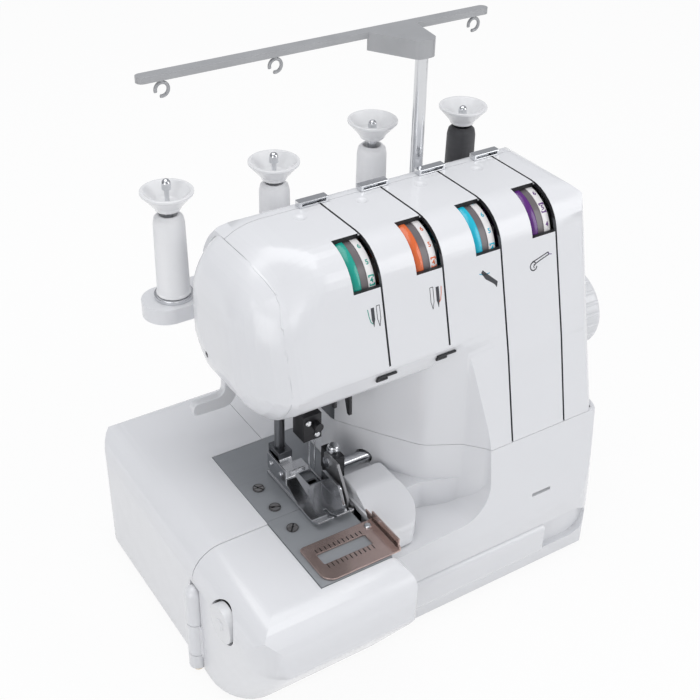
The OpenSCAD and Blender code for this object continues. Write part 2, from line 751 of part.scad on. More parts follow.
// ---- Drive ----
pulley_x0 = 130;
pulley_x1 = 140;
module main_shaft() {
  color("silver") placed() {
    rod_x(column_x0 - 14, wheel_x1 - 3, shaft_y, shaft_z, shaft_d / 2);
    rod_x(column_x0 + plate_w + 6, column_x0 + plate_w + 14, shaft_y + 4, shaft_z, 13);
    rod_x(column_x0 + plate_w + 18, column_x0 + plate_w + 26, shaft_y - 4, shaft_z, 13);
    rod_x(column_x0 - 12, column_x0 - 4, shaft_y, shaft_z + 3, 11);
  }
}
wheel_x0 = right_x + 1.5;
module handwheel() {
  color("white") placed() difference() {
    translate([wheel_x0, shaft_y, shaft_z]) rotate([90, 0, 90]) rotate_extrude() polygon(rounded([
      [0, 0, 0], [wheel_r, 0, 2], [wheel_r, wheel_x1 - wheel_x0, 5], [0, wheel_x1 - wheel_x0, 0]]));
    translate([0, shaft_y, shaft_z]) rotate([90, 0, 90]) for (a = [0:15:345]) rotate(a)
      translate([wheel_r + 1, 0, wheel_x0 + 5]) cylinder(h = far, r = 2);
    rod_x(wheel_x0 - 1, wheel_x1 - 3, shaft_y, shaft_z, shaft_d / 2);
  }
}
belt_t = 2.5;
module pulley(y, z, r, bore) {
  difference() {
    union() {
      rod_x(pulley_x0, pulley_x1, y, z, r);
      rod_x(pulley_x0, pulley_x0 + 1.2, y, z, r + 2.2);
      rod_x(pulley_x1 - 1.2, pulley_x1, y, z, r + 2.2);
    }
    rod_x(pulley_x0 - 1, pulley_x1 + 1, y, z, bore);
  }
}
module driven_pulley() {
  color("dimgray") placed() pulley(shaft_y, shaft_z, driven_r, shaft_d / 2);
}
motor_shaft_r = 3;
can_wall = 4;
rotor_gap = 3;
module motor_pulley() {
  // pulley, shaft and the rotor inside the can
  color("silver") placed() {
    pulley(motor_y, motor_z, motor_pulley_r, motor_shaft_r);
    rod_x(motor_x0 + can_wall + rotor_gap, pulley_x1 + 1, motor_y, motor_z, motor_shaft_r);
    rod_x(motor_x0 + can_wall + rotor_gap, motor_x1 - 2 * can_wall - rotor_gap, motor_y, motor_z,
      motor_r - can_wall - rotor_gap);
  }
}
motor_x0 = 62;
motor_x1 = 122;
module motor_body() {
  color("darkgray") placed() difference() {
    union() {
      rod_x(motor_x0, motor_x1 - 4, motor_y, motor_z, motor_r);
      rod_x(motor_x1 - 4, motor_x1, motor_y, motor_z, 12);
      block([motor_x0 + 8, motor_y - 20, frame_z + frame_t], [motor_x1 - 12, motor_y + 20, motor_z - motor_r + 6]);
    }
    rod_x(motor_x0 + can_wall, motor_x1 - 2 * can_wall, motor_y, motor_z, motor_r - can_wall);
    rod_x(motor_x1 - 9, motor_x1 + 1, motor_y, motor_z, motor_shaft_r + run_clear);
  }
}
// Belt as two straight runs and two arcs around the pulleys
belt_gap = 0.3;
belt_run = [motor_y - shaft_y, motor_z - shaft_z];
belt_dir = atan2(belt_run[1], belt_run[0]);
belt_lean = acos((driven_r - motor_pulley_r) / norm(belt_run));
function belt_outline(t) =
  let (ra = driven_r + t, rb = motor_pulley_r + t, n = 24)
  concat(
    [for (k = [0:n]) [shaft_y, shaft_z]
      + ra * [cos(belt_dir + belt_lean + (360 - 2 * belt_lean) * k / n),
              sin(belt_dir + belt_lean + (360 - 2 * belt_lean) * k / n)]],
    [for (k = [0:n]) [motor_y, motor_z]
      + rb * [cos(belt_dir - belt_lean + 2 * belt_lean * k / n),
              sin(belt_dir - belt_lean + 2 * belt_lean * k / n)]]);
module drive_belt() {
  color("black") placed() translate([pulley_x0 + 1.8, 0, 0]) rotate([90, 0, 90])
    linear_extrude(pulley_x1 - pulley_x0 - 3.6) difference() {
      polygon(belt_outline(belt_gap + belt_t));
      polygon(belt_outline(belt_gap));
    }
}

// ---- Electrical inlet and switch on the right side ----
inlet_y = 84;
inlet_z = 40;
inlet_w = 28;
inlet_h = 22;
switch_y = 52;
switch_w = 15;
switch_h = 22;
module power_inlet() {
  color("dimgray") placed() difference() {
    union() {
      block([right_x - 18, inlet_y - inlet_w / 2 + 0.2, inlet_z - inlet_h / 2 + 0.2],
        [right_x, inlet_y + inlet_w / 2 - 0.2, inlet_z + inlet_h / 2 - 0.2]);
      block([right_x, inlet_y - inlet_w / 2 - 2, inlet_z - inlet_h / 2 - 2],
        [right_x + 2, inlet_y + inlet_w / 2 + 2, inlet_z + inlet_h / 2 + 2]);
    }
    block([right_x - 15, inlet_y - 11, inlet_z - 8], [right_x + 3, inlet_y + 11, inlet_z + 8]);
  }
}
module power_switch() {
  swing = 0.4;
  half = switch_w / 2;
  color("black") placed() translate([right_x - wall, switch_y, inlet_z]) {
    rotate([90, 0, 0]) translate([0, 0, swing - half]) linear_extrude(switch_w - 2 * swing)
      polygon([[-8, -9.5], [wall + 0.5, -9.5], [wall + 2.5, -8], [wall + 0.6, 0], [wall + 3.4, 8], [wall + 1.5, 9.5],
        [-8, 9.5]]);
    rod_y(run_clear - half, half - run_clear, 0, 0, 1.4);
  }
}

// ---- Cloth plates ----
knife_slot_x = -42;
dog_x = [[-68, -62], [-58, -53.5]];
dog_y0 = 40;
dog_y1 = 62;
module plate_hole(x0, x1, y0, y1) {
  block([x0, y0, bed_h - plate_t - 1], [x1, y1, bed_h + 1]);
}
screw_r = 1.6;
plate_screw_xy = [[-82.6, 76.7], [-82.6, 54.5], [-82.6, 31.5]];
module plate_screw_holes() {
  for (p = plate_screw_xy) rod_z(bed_h - 10, bed_h + 1, p[0], p[1], screw_r + 0.2);
}
module cloth_plate() {
  color("gray") placed() difference() {
    block([plate_left_x, plate_front_y, bed_h - plate_t], [knife_slot_x, plate_seam_y - 0.1, bed_h]);
    for (d = dog_x) plate_hole(d[0] - 0.6, d[1] + 0.6, dog_y0 - 4, plate_seam_y + 1);
    plate_screw_holes();
  }
}
module needle_plate() {
  color("gray") placed() difference() {
    block([plate_left_x, plate_seam_y + 0.1, bed_h - plate_t], [plate_right_x, plate_back_y, bed_h]);
    for (d = dog_x) plate_hole(d[0] - 0.6, d[1] + 0.6, plate_seam_y - 1, dog_y1 + 4);
    plate_hole(knife_slot_x, plate_right_x + 1, plate_seam_y - 1, 64);
    plate_hole(needle_bar_x + 0.2, knife_slot_x - 2, needle_y - 5.5, needle_y - 0.5);
    plate_screw_holes();
  }
}
module plate_screws() {
  color("silver") placed() for (p = plate_screw_xy) difference() {
    union() {
      rod_z(bed_h, bed_h + 0.9, p[0], p[1], plate_screw_d / 2);
      rod_z(bed_h - 9, bed_h + 0.01, p[0], p[1], screw_r);
    }
    block([p[0] - 6, p[1] - 0.6, bed_h + 0.4], [p[0] + 6, p[1] + 0.6, bed_h + 2]);
  }
}

// ---- Seam guide: a slotted ruler with an upturned fence, sliding on the cloth plate ----
guide_z = bed_h + 0.3;
guide_x0 = plate_left_x + 4;
guide_x1 = guide_x0 + guide_len;
guide_y0 = plate_front_y + 0.5;
module seam_guide() {
  color("silver") placed() {
    difference() {
      along_z(guide_z, guide_z + guide_t, rounded([
        [guide_x0, guide_y0, 8], [guide_x1, guide_y0, 0.5], [guide_x1, guide_y0 + guide_w, 1],
        [guide_x0, guide_y0 + guide_w, 3]]));
      along_z(guide_z - 1, guide_z + guide_t + 1, rounded([
        [guide_x0 + 7, guide_y0 + 14, 1], [guide_x1 - 12, guide_y0 + 14, 1],
        [guide_x1 - 12, guide_y0 + 24, 1], [guide_x0 + 7, guide_y0 + 24, 1]]));
    }
    along_x(guide_x1 - guide_t, guide_x1, [
      [guide_y0, guide_z], [guide_y0 + guide_w + 3, guide_z], [guide_y0 + guide_w + 6, guide_z + 5],
      [guide_y0 + 4, guide_z + 6], [guide_y0, guide_z + 3]]);
  }
}

// ---- Knives ----
knife_y = 64;
knife_z = bed_h + 5.5;
knife_shaft_r = 4;
knife_x = -40.4;
knife_t = 2;
module lower_knife() {
  color("silver") placed() {
    block([knife_x + knife_t + 0.15, 30, bed_h - 20], [knife_x + 2 * knife_t + 0.15, 48, bed_h - 0.3]);
    block([knife_x + knife_t + 0.15, 34, frame_z + frame_t], [knife_x + 3 * knife_t + 2, 44, bed_h - 20]);
  }
}
module upper_knife() {
  color("silver") placed() difference() {
    along_x(knife_x, knife_x + knife_t, [
      [33, bed_h - 6], [46, bed_h - 3], [62, bed_h + 14], [62, bed_h + 24], [46, bed_h + 24], [33, bed_h + 4]]);
    rod_x(knife_x - 1, knife_x + knife_t + 1, 57, bed_h + 19, screw_r);
  }
}
module knife_arm() {
  x0 = knife_x + knife_t;
  color("dimgray") placed() {
    difference() {
      block([x0, 52, knife_z + 1], [x0 + 8, knife_y + 5, knife_z + 18]);
      rod_x(x0 - 1, x0 + 9, knife_y, knife_z, knife_shaft_r - 0.5);
    }
    rod_x(x0 + 0.3, column_back_x + 46, knife_y, knife_z, knife_shaft_r);
    rod_x(knife_x - 1.5, knife_x, 57, bed_h + 19, 4);
    rod_x(knife_x - 0.01, x0 + 0.01, 57, bed_h + 19, screw_r);
    rod_z(knife_z + 17.9, knife_z + 21, x0 + 4, 60, 4.5);
  }
}
cover_x0 = -33.5;
cover_x1 = -1;
cover_y0 = -3;
cover_y1 = 50.4;
cover_top = bed_h + 8;
module knife_cover_form(t) {
  low = niche_floor_z + 4 - (t > 0 ? 20 : 0);
  intersection() {
    along_x(-far, far, rounded(inset([
      [cover_y0 + 3, low, 0], [cover_y1 + (t > 0 ? 20 : 0), low, 0], [cover_y1 + (t > 0 ? 20 : 0), cover_top, 0],
      [34, cover_top, 14], [cover_y0, bed_h - 12, 12]], t)));
    along_y(-far, far, rounded(inset([
      [cover_x0, low, 0], [cover_x1 - 8, low, 0], [cover_x1 + 3, bed_h - 5, 14], [cover_x1 + 1, cover_top, 8],
      [cover_x0, cover_top, 2]], t)));
    along_z(-far, far, rounded(inset([
      [cover_x0, cover_y0, 10], [cover_x1 + 3, cover_y0, 24], [cover_x1 + 3, cover_y1 + 40, 0],
      [cover_x0, cover_y1 + 40, 0]], t)));
  }
}
module knife_cover() {
  color("white") placed() difference() {
    knife_cover_form(0);
    knife_cover_form(wall - 0.5);
    block([-far, pocket_back_y - 0.6, 0], [far, far, bed_h + 0.3]);
  }
}

// ---- Needle bar and presser ----
needle_y = needle_bar_y - 2;
clamp_z0 = needle_tip_z + 30;
clamp_z1 = clamp_z0 + 20;
bar_top_z = body_h - 28;
module needle_bar() {
  color("silver") placed() {
    rod_z(clamp_z0 + 3, bar_top_z, needle_bar_x, needle_bar_y, needle_bar_d / 2);
    rod_z(bar_top_z - 0.01, bar_top_z + 5, needle_bar_x, needle_bar_y, needle_bar_d / 2 + 1);
  }
}
module needle_clamp() {
  color("dimgray") placed() difference() {
    union() {
      block([needle_bar_x - 4, needle_bar_y - 8, clamp_z0], [needle_bar_x + 9.5, needle_bar_y + 6, clamp_z1]);
      rod_y(needle_bar_y - 13, needle_bar_y - 7, needle_bar_x + 5, clamp_z0 + 12, 3.2);
    }
    rod_z(clamp_z0 + 3, clamp_z1 + 1, needle_bar_x, needle_bar_y, needle_bar_d / 2);
    for (k = [0, 1])
      rod_z(clamp_z0 - 1, clamp_z0 + 10, needle_bar_x + 2 + k * needle_pitch, needle_y - 3, 0.9);
  }
}
module needles() {
  color("silver") placed() for (k = [0, 1]) {
    x = needle_bar_x + 2 + k * needle_pitch;
    rod_z(needle_tip_z + 5, clamp_z0 - 1, x, needle_y - 3, 0.55);
    rod_z(clamp_z0 - 1.01, clamp_z0 + 10, x, needle_y - 3, 0.9);
    translate([x, needle_y - 3, needle_tip_z]) cylinder(h = 5.01, r1 = 0.1, r2 = 0.55);
  }
}
// Rocker that drives the needle bar: a shaft along the arm with a forked lever
rocker_y = 104;
rocker_z = body_h - 33;
rocker_r = 4;
rocker_posts = [-34, 58];
lever_len = rocker_y - needle_bar_y;
module needle_rocker() {
  fork_x = needle_bar_x + bar_boss_r + 2;
  rise = 11;
  color("slategray") placed() {
    rod_x(fork_x - 3, column_x0 - 4, rocker_y, rocker_z, rocker_r);
    along_x(fork_x - 1.2, fork_x + 1.2, rounded([
      [needle_bar_y - 4, rocker_z + rise - 4, 3], [rocker_y, rocker_z - 5, 0], [rocker_y, rocker_z + 5, 0],
      [needle_bar_y - 4, rocker_z + rise + 4, 3]]));
    rod_x(fork_x - 4, fork_x + 4, rocker_y, rocker_z, rocker_r + 3);
  }
}
take_x0 = -41.5;
take_x1 = -28;
take_y = 82;
take_r = 3;
take_z = (arm_z0 + arm_z1) / 2;
module take_up_lever() {
  color("dimgray") placed() {
    rod_x(take_x0 - 6, take_x1 + 6, take_y, take_z, take_r);
    for (arm = [[take_x0, 50], [take_x1 - 2, 60]]) along_x(arm[0], arm[0] + 2, rounded([
      [take_y - 34, take_z - arm[1], 0.8], [take_y - 31, take_z - arm[1], 0.8],
      [take_y - 22, take_z - 30, 4], [take_y + 4, take_z - 2, 0], [take_y, take_z + 3, 0],
      [take_y - 33, take_z - 24, 5]]));
    rod_x(take_x0 + 1, take_x1 - 1, take_y - 26, take_z - 29, 1.6);
  }
}

foot_x0 = -70;
foot_z0 = bed_h + 0.3;
sole_t = 2.2;
ankle_z = bed_h + 23;
module presser_foot() {
  x1 = foot_x0 + foot_w;
  color("silver") placed() difference() {
    union() {
      along_x(foot_x0, x1, rounded([
        [20, foot_z0 + 5, 0.6], [27, foot_z0, 6], [88, foot_z0, 1], [88, foot_z0 + sole_t, 1],
        [28, foot_z0 + sole_t, 5], [20, foot_z0 + 7, 0.6]]));
      along_x(presser_bar_x - 5, presser_bar_x + 4, rounded([
        [44, foot_z0 + 1, 0], [86, foot_z0 + 1, 0], [86, ankle_z, 3], [72, ankle_z, 4], [66, foot_z0 + 9, 4]]));
      along_x(x1 - 2, x1, rounded([
        [30, foot_z0 + 1, 0], [58, foot_z0 + 1, 0], [58, foot_z0 + 14, 3], [36, foot_z0 + 14, 4]]));
    }
    rod_z(foot_z0 + 8, ankle_z + 1, presser_bar_x, presser_bar_y, presser_bar_d / 2);
    block([needle_bar_x - 1, needle_y - 9, foot_z0 - 1], [needle_bar_x + 8, needle_y + 6, foot_z0 + 5]);
    block([foot_x0 + 12, 10, foot_z0 - 1], [foot_x0 + 14, 34, foot_z0 + 12]);
  }
}
collar_z = spring_seat_z - 26;
presser_lift = 5.5;
module presser_bar() {
  color("silver") placed() {
    rod_z(foot_z0 + 8, spring_seat_z - presser_lift - 0.5, presser_bar_x, presser_bar_y, presser_bar_d / 2);
    rod_z(collar_z, collar_z + 4, presser_bar_x, presser_bar_y, presser_bar_d / 2 + 2.5);
  }
}
module presser_spring() {
  color("silver") placed() difference() {
    rod_z(collar_z + 4 + seat, spring_seat_z - seat, presser_bar_x, presser_bar_y, presser_bar_d / 2 + 2);
    rod_z(collar_z, spring_seat_z, presser_bar_x, presser_bar_y, presser_bar_d / 2 + 0.6);
  }
}
// Lifter: a bent lever behind the head, on a shaft that reaches in to the presser bar
lever_pivot_x = presser_bar_x - 2;
lever_z = belly_z + 10;
lever_shaft_r = 3;
lever_y0 = upper_back_y + 1.5;
lever_y1 = lever_y0 + 6;
handle_z = bed_h + 33;
handle_x = lever_pivot_x - 34;
module lifter_lever() {
  color("white") placed() {
    along_y(lever_y0, lever_y1, rounded([
      [handle_x, handle_z - 5, 4.5], [lever_pivot_x - 2, handle_z - 6, 10], [lever_pivot_x + 7, lever_z, 0],
      [lever_pivot_x - 7, lever_z, 0], [lever_pivot_x - 10, handle_z + 5, 6], [handle_x, handle_z + 5, 4.5]]));
    rod_y(lever_y0, lever_y1, lever_pivot_x, lever_z, 7);
    rod_y(89, lever_y0 + 0.01, lever_pivot_x, lever_z, lever_shaft_r);
    rod_y(86, 90, lever_pivot_x, lever_z + 2, 6);
  }
}

// ---- Feed and loopers under the plates ----
module feed_dogs() {
  color("silver") placed() {
    for (d = dog_x) block([d[0], dog_y0, bed_h - 14], [d[1], dog_y1, bed_h - 0.6]);
    block([dog_x[0][0], dog_y0 + 4, bed_h - 18], [dog_x[1][1], 97, bed_h - 12]);
  }
}
lower_pivot = [-72, 34];
upper_pivot = [-26, 40];
looper_y = 70;
looper_shaft_r = 4;
module lower_looper() {
  color("silver") placed() {
    rod_y(looper_y - 1, looper_y + 7, lower_pivot[0], lower_pivot[1], 7);
    rod_y(looper_y + 6, 105, lower_pivot[0], lower_pivot[1], looper_shaft_r);
    along_y(looper_y + 1, looper_y + 5, rounded([
      [lower_pivot[0] - 5, lower_pivot[1], 0], [lower_pivot[0] + 5, lower_pivot[1], 0],
      [lower_pivot[0] + 3, bed_h - 31, 6], [needle_bar_x + 2, bed_h - 26, 0.5], [lower_pivot[0] - 3, bed_h - 22, 3]]));
  }
}
module upper_looper() {
  color("silver") placed() {
    rod_y(looper_y - 16, looper_y - 8, upper_pivot[0], upper_pivot[1], 7);
    rod_y(looper_y - 9, 105, upper_pivot[0], upper_pivot[1], looper_shaft_r);
    along_y(looper_y - 14, looper_y - 10, rounded([
      [upper_pivot[0] - 5, upper_pivot[1], 0], [upper_pivot[0] + 5, upper_pivot[1], 0],
      [upper_pivot[0] + 3, bed_h - 21, 4], [upper_pivot[0] - 6, bed_h - 5, 0.5], [upper_pivot[0] - 7, bed_h - 25, 6]]));
  }
}

// ---- Tension units ----
module tension_studs() {
  color("silver") placed() for (x = channels)
    rod_x(x - window_w - 1, x + 7 + stud_wall, dial_y, dial_z, stud_r);
}
disc_r = 12;
module tension_discs() {
  color("silver") placed() for (x = channels) difference() {
    union() {
      rod_x(x + 0.2, x + 1.4, dial_y, dial_z, disc_r);
      rod_x(x + 3, x + 4.2, dial_y, dial_z, disc_r);
      rod_x(x + 1.3, x + 3.1, dial_y, dial_z, 5);
      rod_x(x + 4.1, x + 7, dial_y, dial_z, 5);
    }
    rod_x(x - 1, x + 8, dial_y, dial_z, stud_r);
  }
}
module tension_dial(i, tint) {
  x0 = channels[i] - window_w + 0.8;
  rim = dial_w * 0.3;
  band = dial_w * 0.62;
  color(tint) placed() difference() {
    union() {
      translate([x0, dial_y, dial_z]) rotate([90, 0, 90]) rotate_extrude($fn = 96) polygon(rounded([
        [0, 0, 0], [dial_r - 2, 0, 1], [dial_r, rim / 2, 2], [dial_r - 0.3, rim, 0], [dial_r - 1.2, rim, 0],
        [dial_r - 1.2, band, 0], [dial_r - 0.6, band, 0], [dial_r - 0.6, dial_w, 0.5], [0, dial_w, 0]], 4));
      rod_x(x0 + dial_w - 0.01, channels[i] - 0.1, dial_y, dial_z, 6);
    }
    rod_x(x0 - 1, channels[i] + 1, dial_y, dial_z, stud_r + run_clear);
  }
}
module left_needle_dial() { tension_dial(0, "lightseagreen"); }
module right_needle_dial() { tension_dial(1, "orangered"); }
module upper_looper_dial() { tension_dial(2, "darkturquoise"); }
module lower_looper_dial() { tension_dial(3, "purple"); }

// ---- Thread guides on the body ----
guide_left = 15;
guide_right = 6;
module deck_guides() {
  color("silver") placed() for (x = channels) {
    difference() {
      block([x - guide_left, deck_back_y - 1.5, body_h], [x + guide_right, deck_back_y + 4.5, body_h + 4]);
      block([x - guide_left + 2, deck_back_y - 3, body_h + 1.2], [x + guide_right - 2, deck_back_y + 3.3, body_h + 3]);
    }
  }
}
hook_wire_r = 0.9;
module hook_guides() {
  drop = 5;
  leg = 3.2;
  // bent wires that lie along the lip, just clear of it
  color("black") placed() for (x = [channels[0], channels[1]])
    translate([x, crease_y + drop * lip_slope - hook_wire_r - 0.2, head_bottom_z - drop]) rotate([lip_tilt, 0, 0]) {
      rod_x(-8, 5, 0, 0, hook_wire_r);
      rod_x(-8, -1, 0, -leg, hook_wire_r);
      rod_z(-leg, 0, -8, 0, hook_wire_r);
      for (end = [[-8, 0], [-8, -leg], [-1, -leg], [5, 0]]) translate([end[0], 0, end[1]]) sphere(r = hook_wire_r);
    }
}

// ---- Cover screws ----
// Place in Y and Z, and how far the rounded end has fallen back there
end_screws = [[94.6, body_h - 79, 0.3], [104, body_h - 98, 8.4]];
module cover_screws() {
  color("dimgray") placed() for (p = end_screws) translate([head_left_x + p[2], p[0], p[1]]) difference() {
    union() {
      rod_x(0.6, wall, 0, 0, screw_r + 0.5);
      rod_x(wall - 0.01, 9, 0, 0, screw_r - 0.3);
    }
    block([-1, -3, -0.35], [1.3, 3, 0.35]);
  }
}

// ---- Thread stand ----
pins = [for (i = [0:3]) first_pin_x + i * pin_pitch];
tray_x0 = first_pin_x - 6;
tray_x1 = first_pin_x + 3 * pin_pitch + 6;
module spool_tray() {
  color("white") placed() difference() {
    union() {
      for (x = [tray_x0, tray_x1]) rod_z(tray_z - tray_t, tray_z, x, pin_y, tray_r);
      block([tray_x0, pin_y - tray_r, tray_z - tray_t], [tray_x1, pin_y + tray_r, tray_z]);
      block([-70, upper_back_y, tray_z - tray_t - 6], [126, pin_y - tray_r + 4, tray_z - 1]);
    }
    block([tray_x0, pin_y - tray_r + wall, tray_z - tray_t - 1], [tray_x1, pin_y + tray_r - wall, tray_z - wall]);
    for (x = pins) rod_z(tray_z - tray_t - 1, tray_z + 1, x, pin_y, 3);
  }
}
cop_z0 = tray_z + 3;
// The four threads are wound to different heights, and each cap sits just above its own cop
cop_rise = [0, 3, 12, 9];
cap_rise = [3, 5, 17, 11];
cap_z0 = tray_z + 3 + cop_h + seat;
cap_h = 13;
cap_hub = 3.5;
pin_r = 3;
pin_knob_h = 7;
function pin_top(i) = max(tray_z + 84, cap_z0 + cap_rise[i] + cap_hub + 2 + pin_knob_h);
module spool_pins() {
  color("silver") placed() for (i = [0:3]) {
    x = pins[i];
    rod_z(tray_z - wall, cap_z0 + cap_rise[i] + cap_hub, x, pin_y, pin_r);
    rod_z(cap_z0 + cap_rise[i] + cap_hub - 0.01, pin_top(i) - pin_knob_h, x, pin_y, 1.5);
    rod_z(pin_top(i) - pin_knob_h - 0.01, pin_top(i) - pin_r, x, pin_y, pin_r);
    translate([x, pin_y, pin_top(i) - pin_r]) sphere(r = pin_r);
    difference() {
      rod_z(tray_z, tray_z + 2.7, x, pin_y, cop_d / 2 + 2.5);
      rod_z(tray_z - 1, tray_z + 4, x, pin_y, 2.99);
    }
  }
}
module thread_cop(i, tint) {
  top = cop_h + cop_rise[i];
  color(tint) placed() translate([pins[i], pin_y, cop_z0]) rotate_extrude() polygon([
    [pin_r + 0.08, 0], [cop_d / 2 + 0.8, 0], [cop_d / 2 + 0.8, 1.6], [cop_d / 2 + 0.2, 2], [cop_d / 2 + 0.2, 9],
    [cop_d / 2 - 0.4, top - 6], [cop_d / 2 - 1.2, top - 2.2], [cop_d / 2 - 3.4, top], [cop_d / 2 - 4.6, top],
    [cop_d / 2 - 4.6, top - 8], [pin_r + 0.08, top - 9]]);
}
module thread_cop_1() { thread_cop(0, "whitesmoke"); }
module thread_cop_2() { thread_cop(1, "whitesmoke"); }
module thread_cop_3() { thread_cop(2, "whitesmoke"); }
module thread_cop_4() { thread_cop(3, "dimgray"); }
module spool_caps() {
  color("white") placed() for (i = [0:3]) translate([pins[i], pin_y, cap_z0 + cap_rise[i]]) rotate_extrude()
    polygon(rounded([
      [pin_r, 0, 0], [8, 0, 1], [9.5, 3, 3], [cap_d / 2 - 1, cap_h - 2.5, 4], [cap_d / 2, cap_h - 1.5, 0.6],
      [cap_d / 2, cap_h, 0.6], [cap_d / 2 - 2, cap_h, 0.6], [7.5, cap_hub + 1, 3], [pin_r, cap_hub, 0]], 4));
}
mast_outer_r = mast_d / 2 + 1.6;
mast_top_z = bar_z - 1;
mast_seat_z = arm_z0 + 2;
sleeve_top_z = body_h - 12;
module mast_outer() {
  color("silver") placed() difference() {
    rod_z(mast_seat_z - 2, sleeve_top_z, mast_x, mast_y, mast_outer_r);
    rod_z(mast_seat_z, sleeve_top_z + 1, mast_x, mast_y, mast_d / 2 + run_clear);
  }
}
mast_hold = 12;
module mast_inner() {
  color("silver") placed() rod_z(sleeve_top_z - mast_hold, mast_top_z, mast_x, mast_y, mast_d / 2);
}
bar_y0 = 145;
bar_y1 = 153;
bar_t = 4;
bar_x0 = first_pin_x - 16;
eye_pitch = (bar_len - 26) / 3;
eye_r = 4.2;
eye_wire = 1.1;
module guide_bar() {
  color("darkgray") placed() {
    // cross bar with round ends
    block([bar_x0 + 4, bar_y0, bar_z], [bar_x0 + bar_len - 4, bar_y1, bar_z + bar_t]);
    for (x = [bar_x0 + 4, bar_x0 + bar_len - 4]) rod_z(bar_z, bar_z + bar_t, x, (bar_y0 + bar_y1) / 2, 4);
    // bracket over the top of the mast
    difference() {
      along_z(bar_z - 8, bar_z + bar_t, rounded([
        [mast_x - 7, mast_y - 7, 6], [mast_x + 7, mast_y - 7, 6], [mast_x + 11, bar_y0 + 1, 0],
        [mast_x - 26, bar_y0 + 1, 0]]));
      rod_z(bar_z - 9, mast_top_z, mast_x, mast_y, mast_d / 2);
    }
    // open eyelets above the spool pins
    for (k = [0:3]) translate([bar_x0 + 16 + k * eye_pitch, (bar_y0 + bar_y1) / 2, bar_z - eye_r - 2.5]) {
      rotate([90, 0, 0]) rotate([0, 0, 255]) rotate_extrude(angle = 300) translate([eye_r, 0]) circle(r = eye_wire);
      translate([0, 0, eye_r - 0.5]) cylinder(h = 3.6, r = eye_wire);
    }
  }
}

base_pan();
rubber_feet();
inner_frame();
bed_cover();
looper_cover();
hinge_pin();
length_dial();
lower_cover();
bumper_bar();
upper_cover();
head_end_cover();
rear_cover();
knife_cover();
cover_screws();
cloth_plate();
needle_plate();
plate_screws();
seam_guide();
lower_knife();
upper_knife();
knife_arm();
needle_bar();
needle_clamp();
needles();
needle_rocker();
take_up_lever();
presser_bar();
presser_spring();
presser_foot();
lifter_lever();
feed_dogs();
upper_looper();
lower_looper();
main_shaft();
shaft_bushes();
handwheel();
driven_pulley();
drive_belt();
motor_body();
motor_pulley();
power_inlet();
power_switch();
tension_studs();
tension_discs();
left_needle_dial();
right_needle_dial();
upper_looper_dial();
lower_looper_dial();
deck_guides();
hook_guides();
spool_tray();
spool_pins();
spool_caps();
thread_cop_1();
thread_cop_2();
thread_cop_3();
thread_cop_4();
mast_outer();
mast_inner();
guide_bar();
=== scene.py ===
# Four-thread overlock machine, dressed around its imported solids.
import json
import math

import bmesh
import bpy
from mathutils import Matrix, Vector
from mathutils.bvhtree import BVHTree

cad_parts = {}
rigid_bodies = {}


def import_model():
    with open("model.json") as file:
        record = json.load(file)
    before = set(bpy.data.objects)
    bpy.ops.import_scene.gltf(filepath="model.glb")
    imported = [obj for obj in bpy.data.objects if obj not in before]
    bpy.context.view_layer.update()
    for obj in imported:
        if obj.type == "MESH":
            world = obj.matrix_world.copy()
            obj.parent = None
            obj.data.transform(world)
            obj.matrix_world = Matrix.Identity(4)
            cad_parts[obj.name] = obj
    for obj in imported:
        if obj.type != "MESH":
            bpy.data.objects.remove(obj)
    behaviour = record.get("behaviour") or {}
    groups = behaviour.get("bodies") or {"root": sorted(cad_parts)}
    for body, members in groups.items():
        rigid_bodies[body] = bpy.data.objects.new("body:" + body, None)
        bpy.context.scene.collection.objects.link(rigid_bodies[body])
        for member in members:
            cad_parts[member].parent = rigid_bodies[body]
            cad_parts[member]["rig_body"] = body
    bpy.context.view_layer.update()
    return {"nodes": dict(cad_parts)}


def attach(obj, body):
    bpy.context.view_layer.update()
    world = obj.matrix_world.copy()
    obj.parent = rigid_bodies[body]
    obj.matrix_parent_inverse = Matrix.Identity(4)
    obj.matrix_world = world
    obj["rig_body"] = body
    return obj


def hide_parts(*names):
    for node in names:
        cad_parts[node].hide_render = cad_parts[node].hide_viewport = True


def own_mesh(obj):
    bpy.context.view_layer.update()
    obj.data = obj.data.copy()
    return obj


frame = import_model()

# ---- Viewpoint: a product shot from above and left of the front, on a long lens.
# The three axes are the camera's own right, up and backward directions.
camera_data = bpy.data.cameras.new("shot")
camera_data.sensor_width = 36.0
camera_data.lens = 61.78
camera_data.clip_start = 0.05
camera = bpy.data.objects.new("shot", camera_data)
bpy.context.collection.objects.link(camera)
camera_right = Vector((0.8432, -0.5374, 0.0193))
camera_up = Vector((0.2891, 0.4833, 0.8263))
camera_back = camera_right.cross(camera_up)
camera.matrix_world = (
    Matrix.Translation((-0.378, -0.54364, 0.630))
    @ Matrix((camera_right, camera_up, camera_back)).transposed().to_4x4()
)
bpy.context.scene.camera = camera
bpy.context.scene.view_settings.view_transform = "Standard"


# ---- Shader writing: sockets that work in plain expressions, and one way to add any node.
# Finishes are laid out in the drawing's millimetres, whose origin stands ROW_SHIFT from the part's own.
ROW_SHIFT = Vector((9.0, 76.0, 0.0))


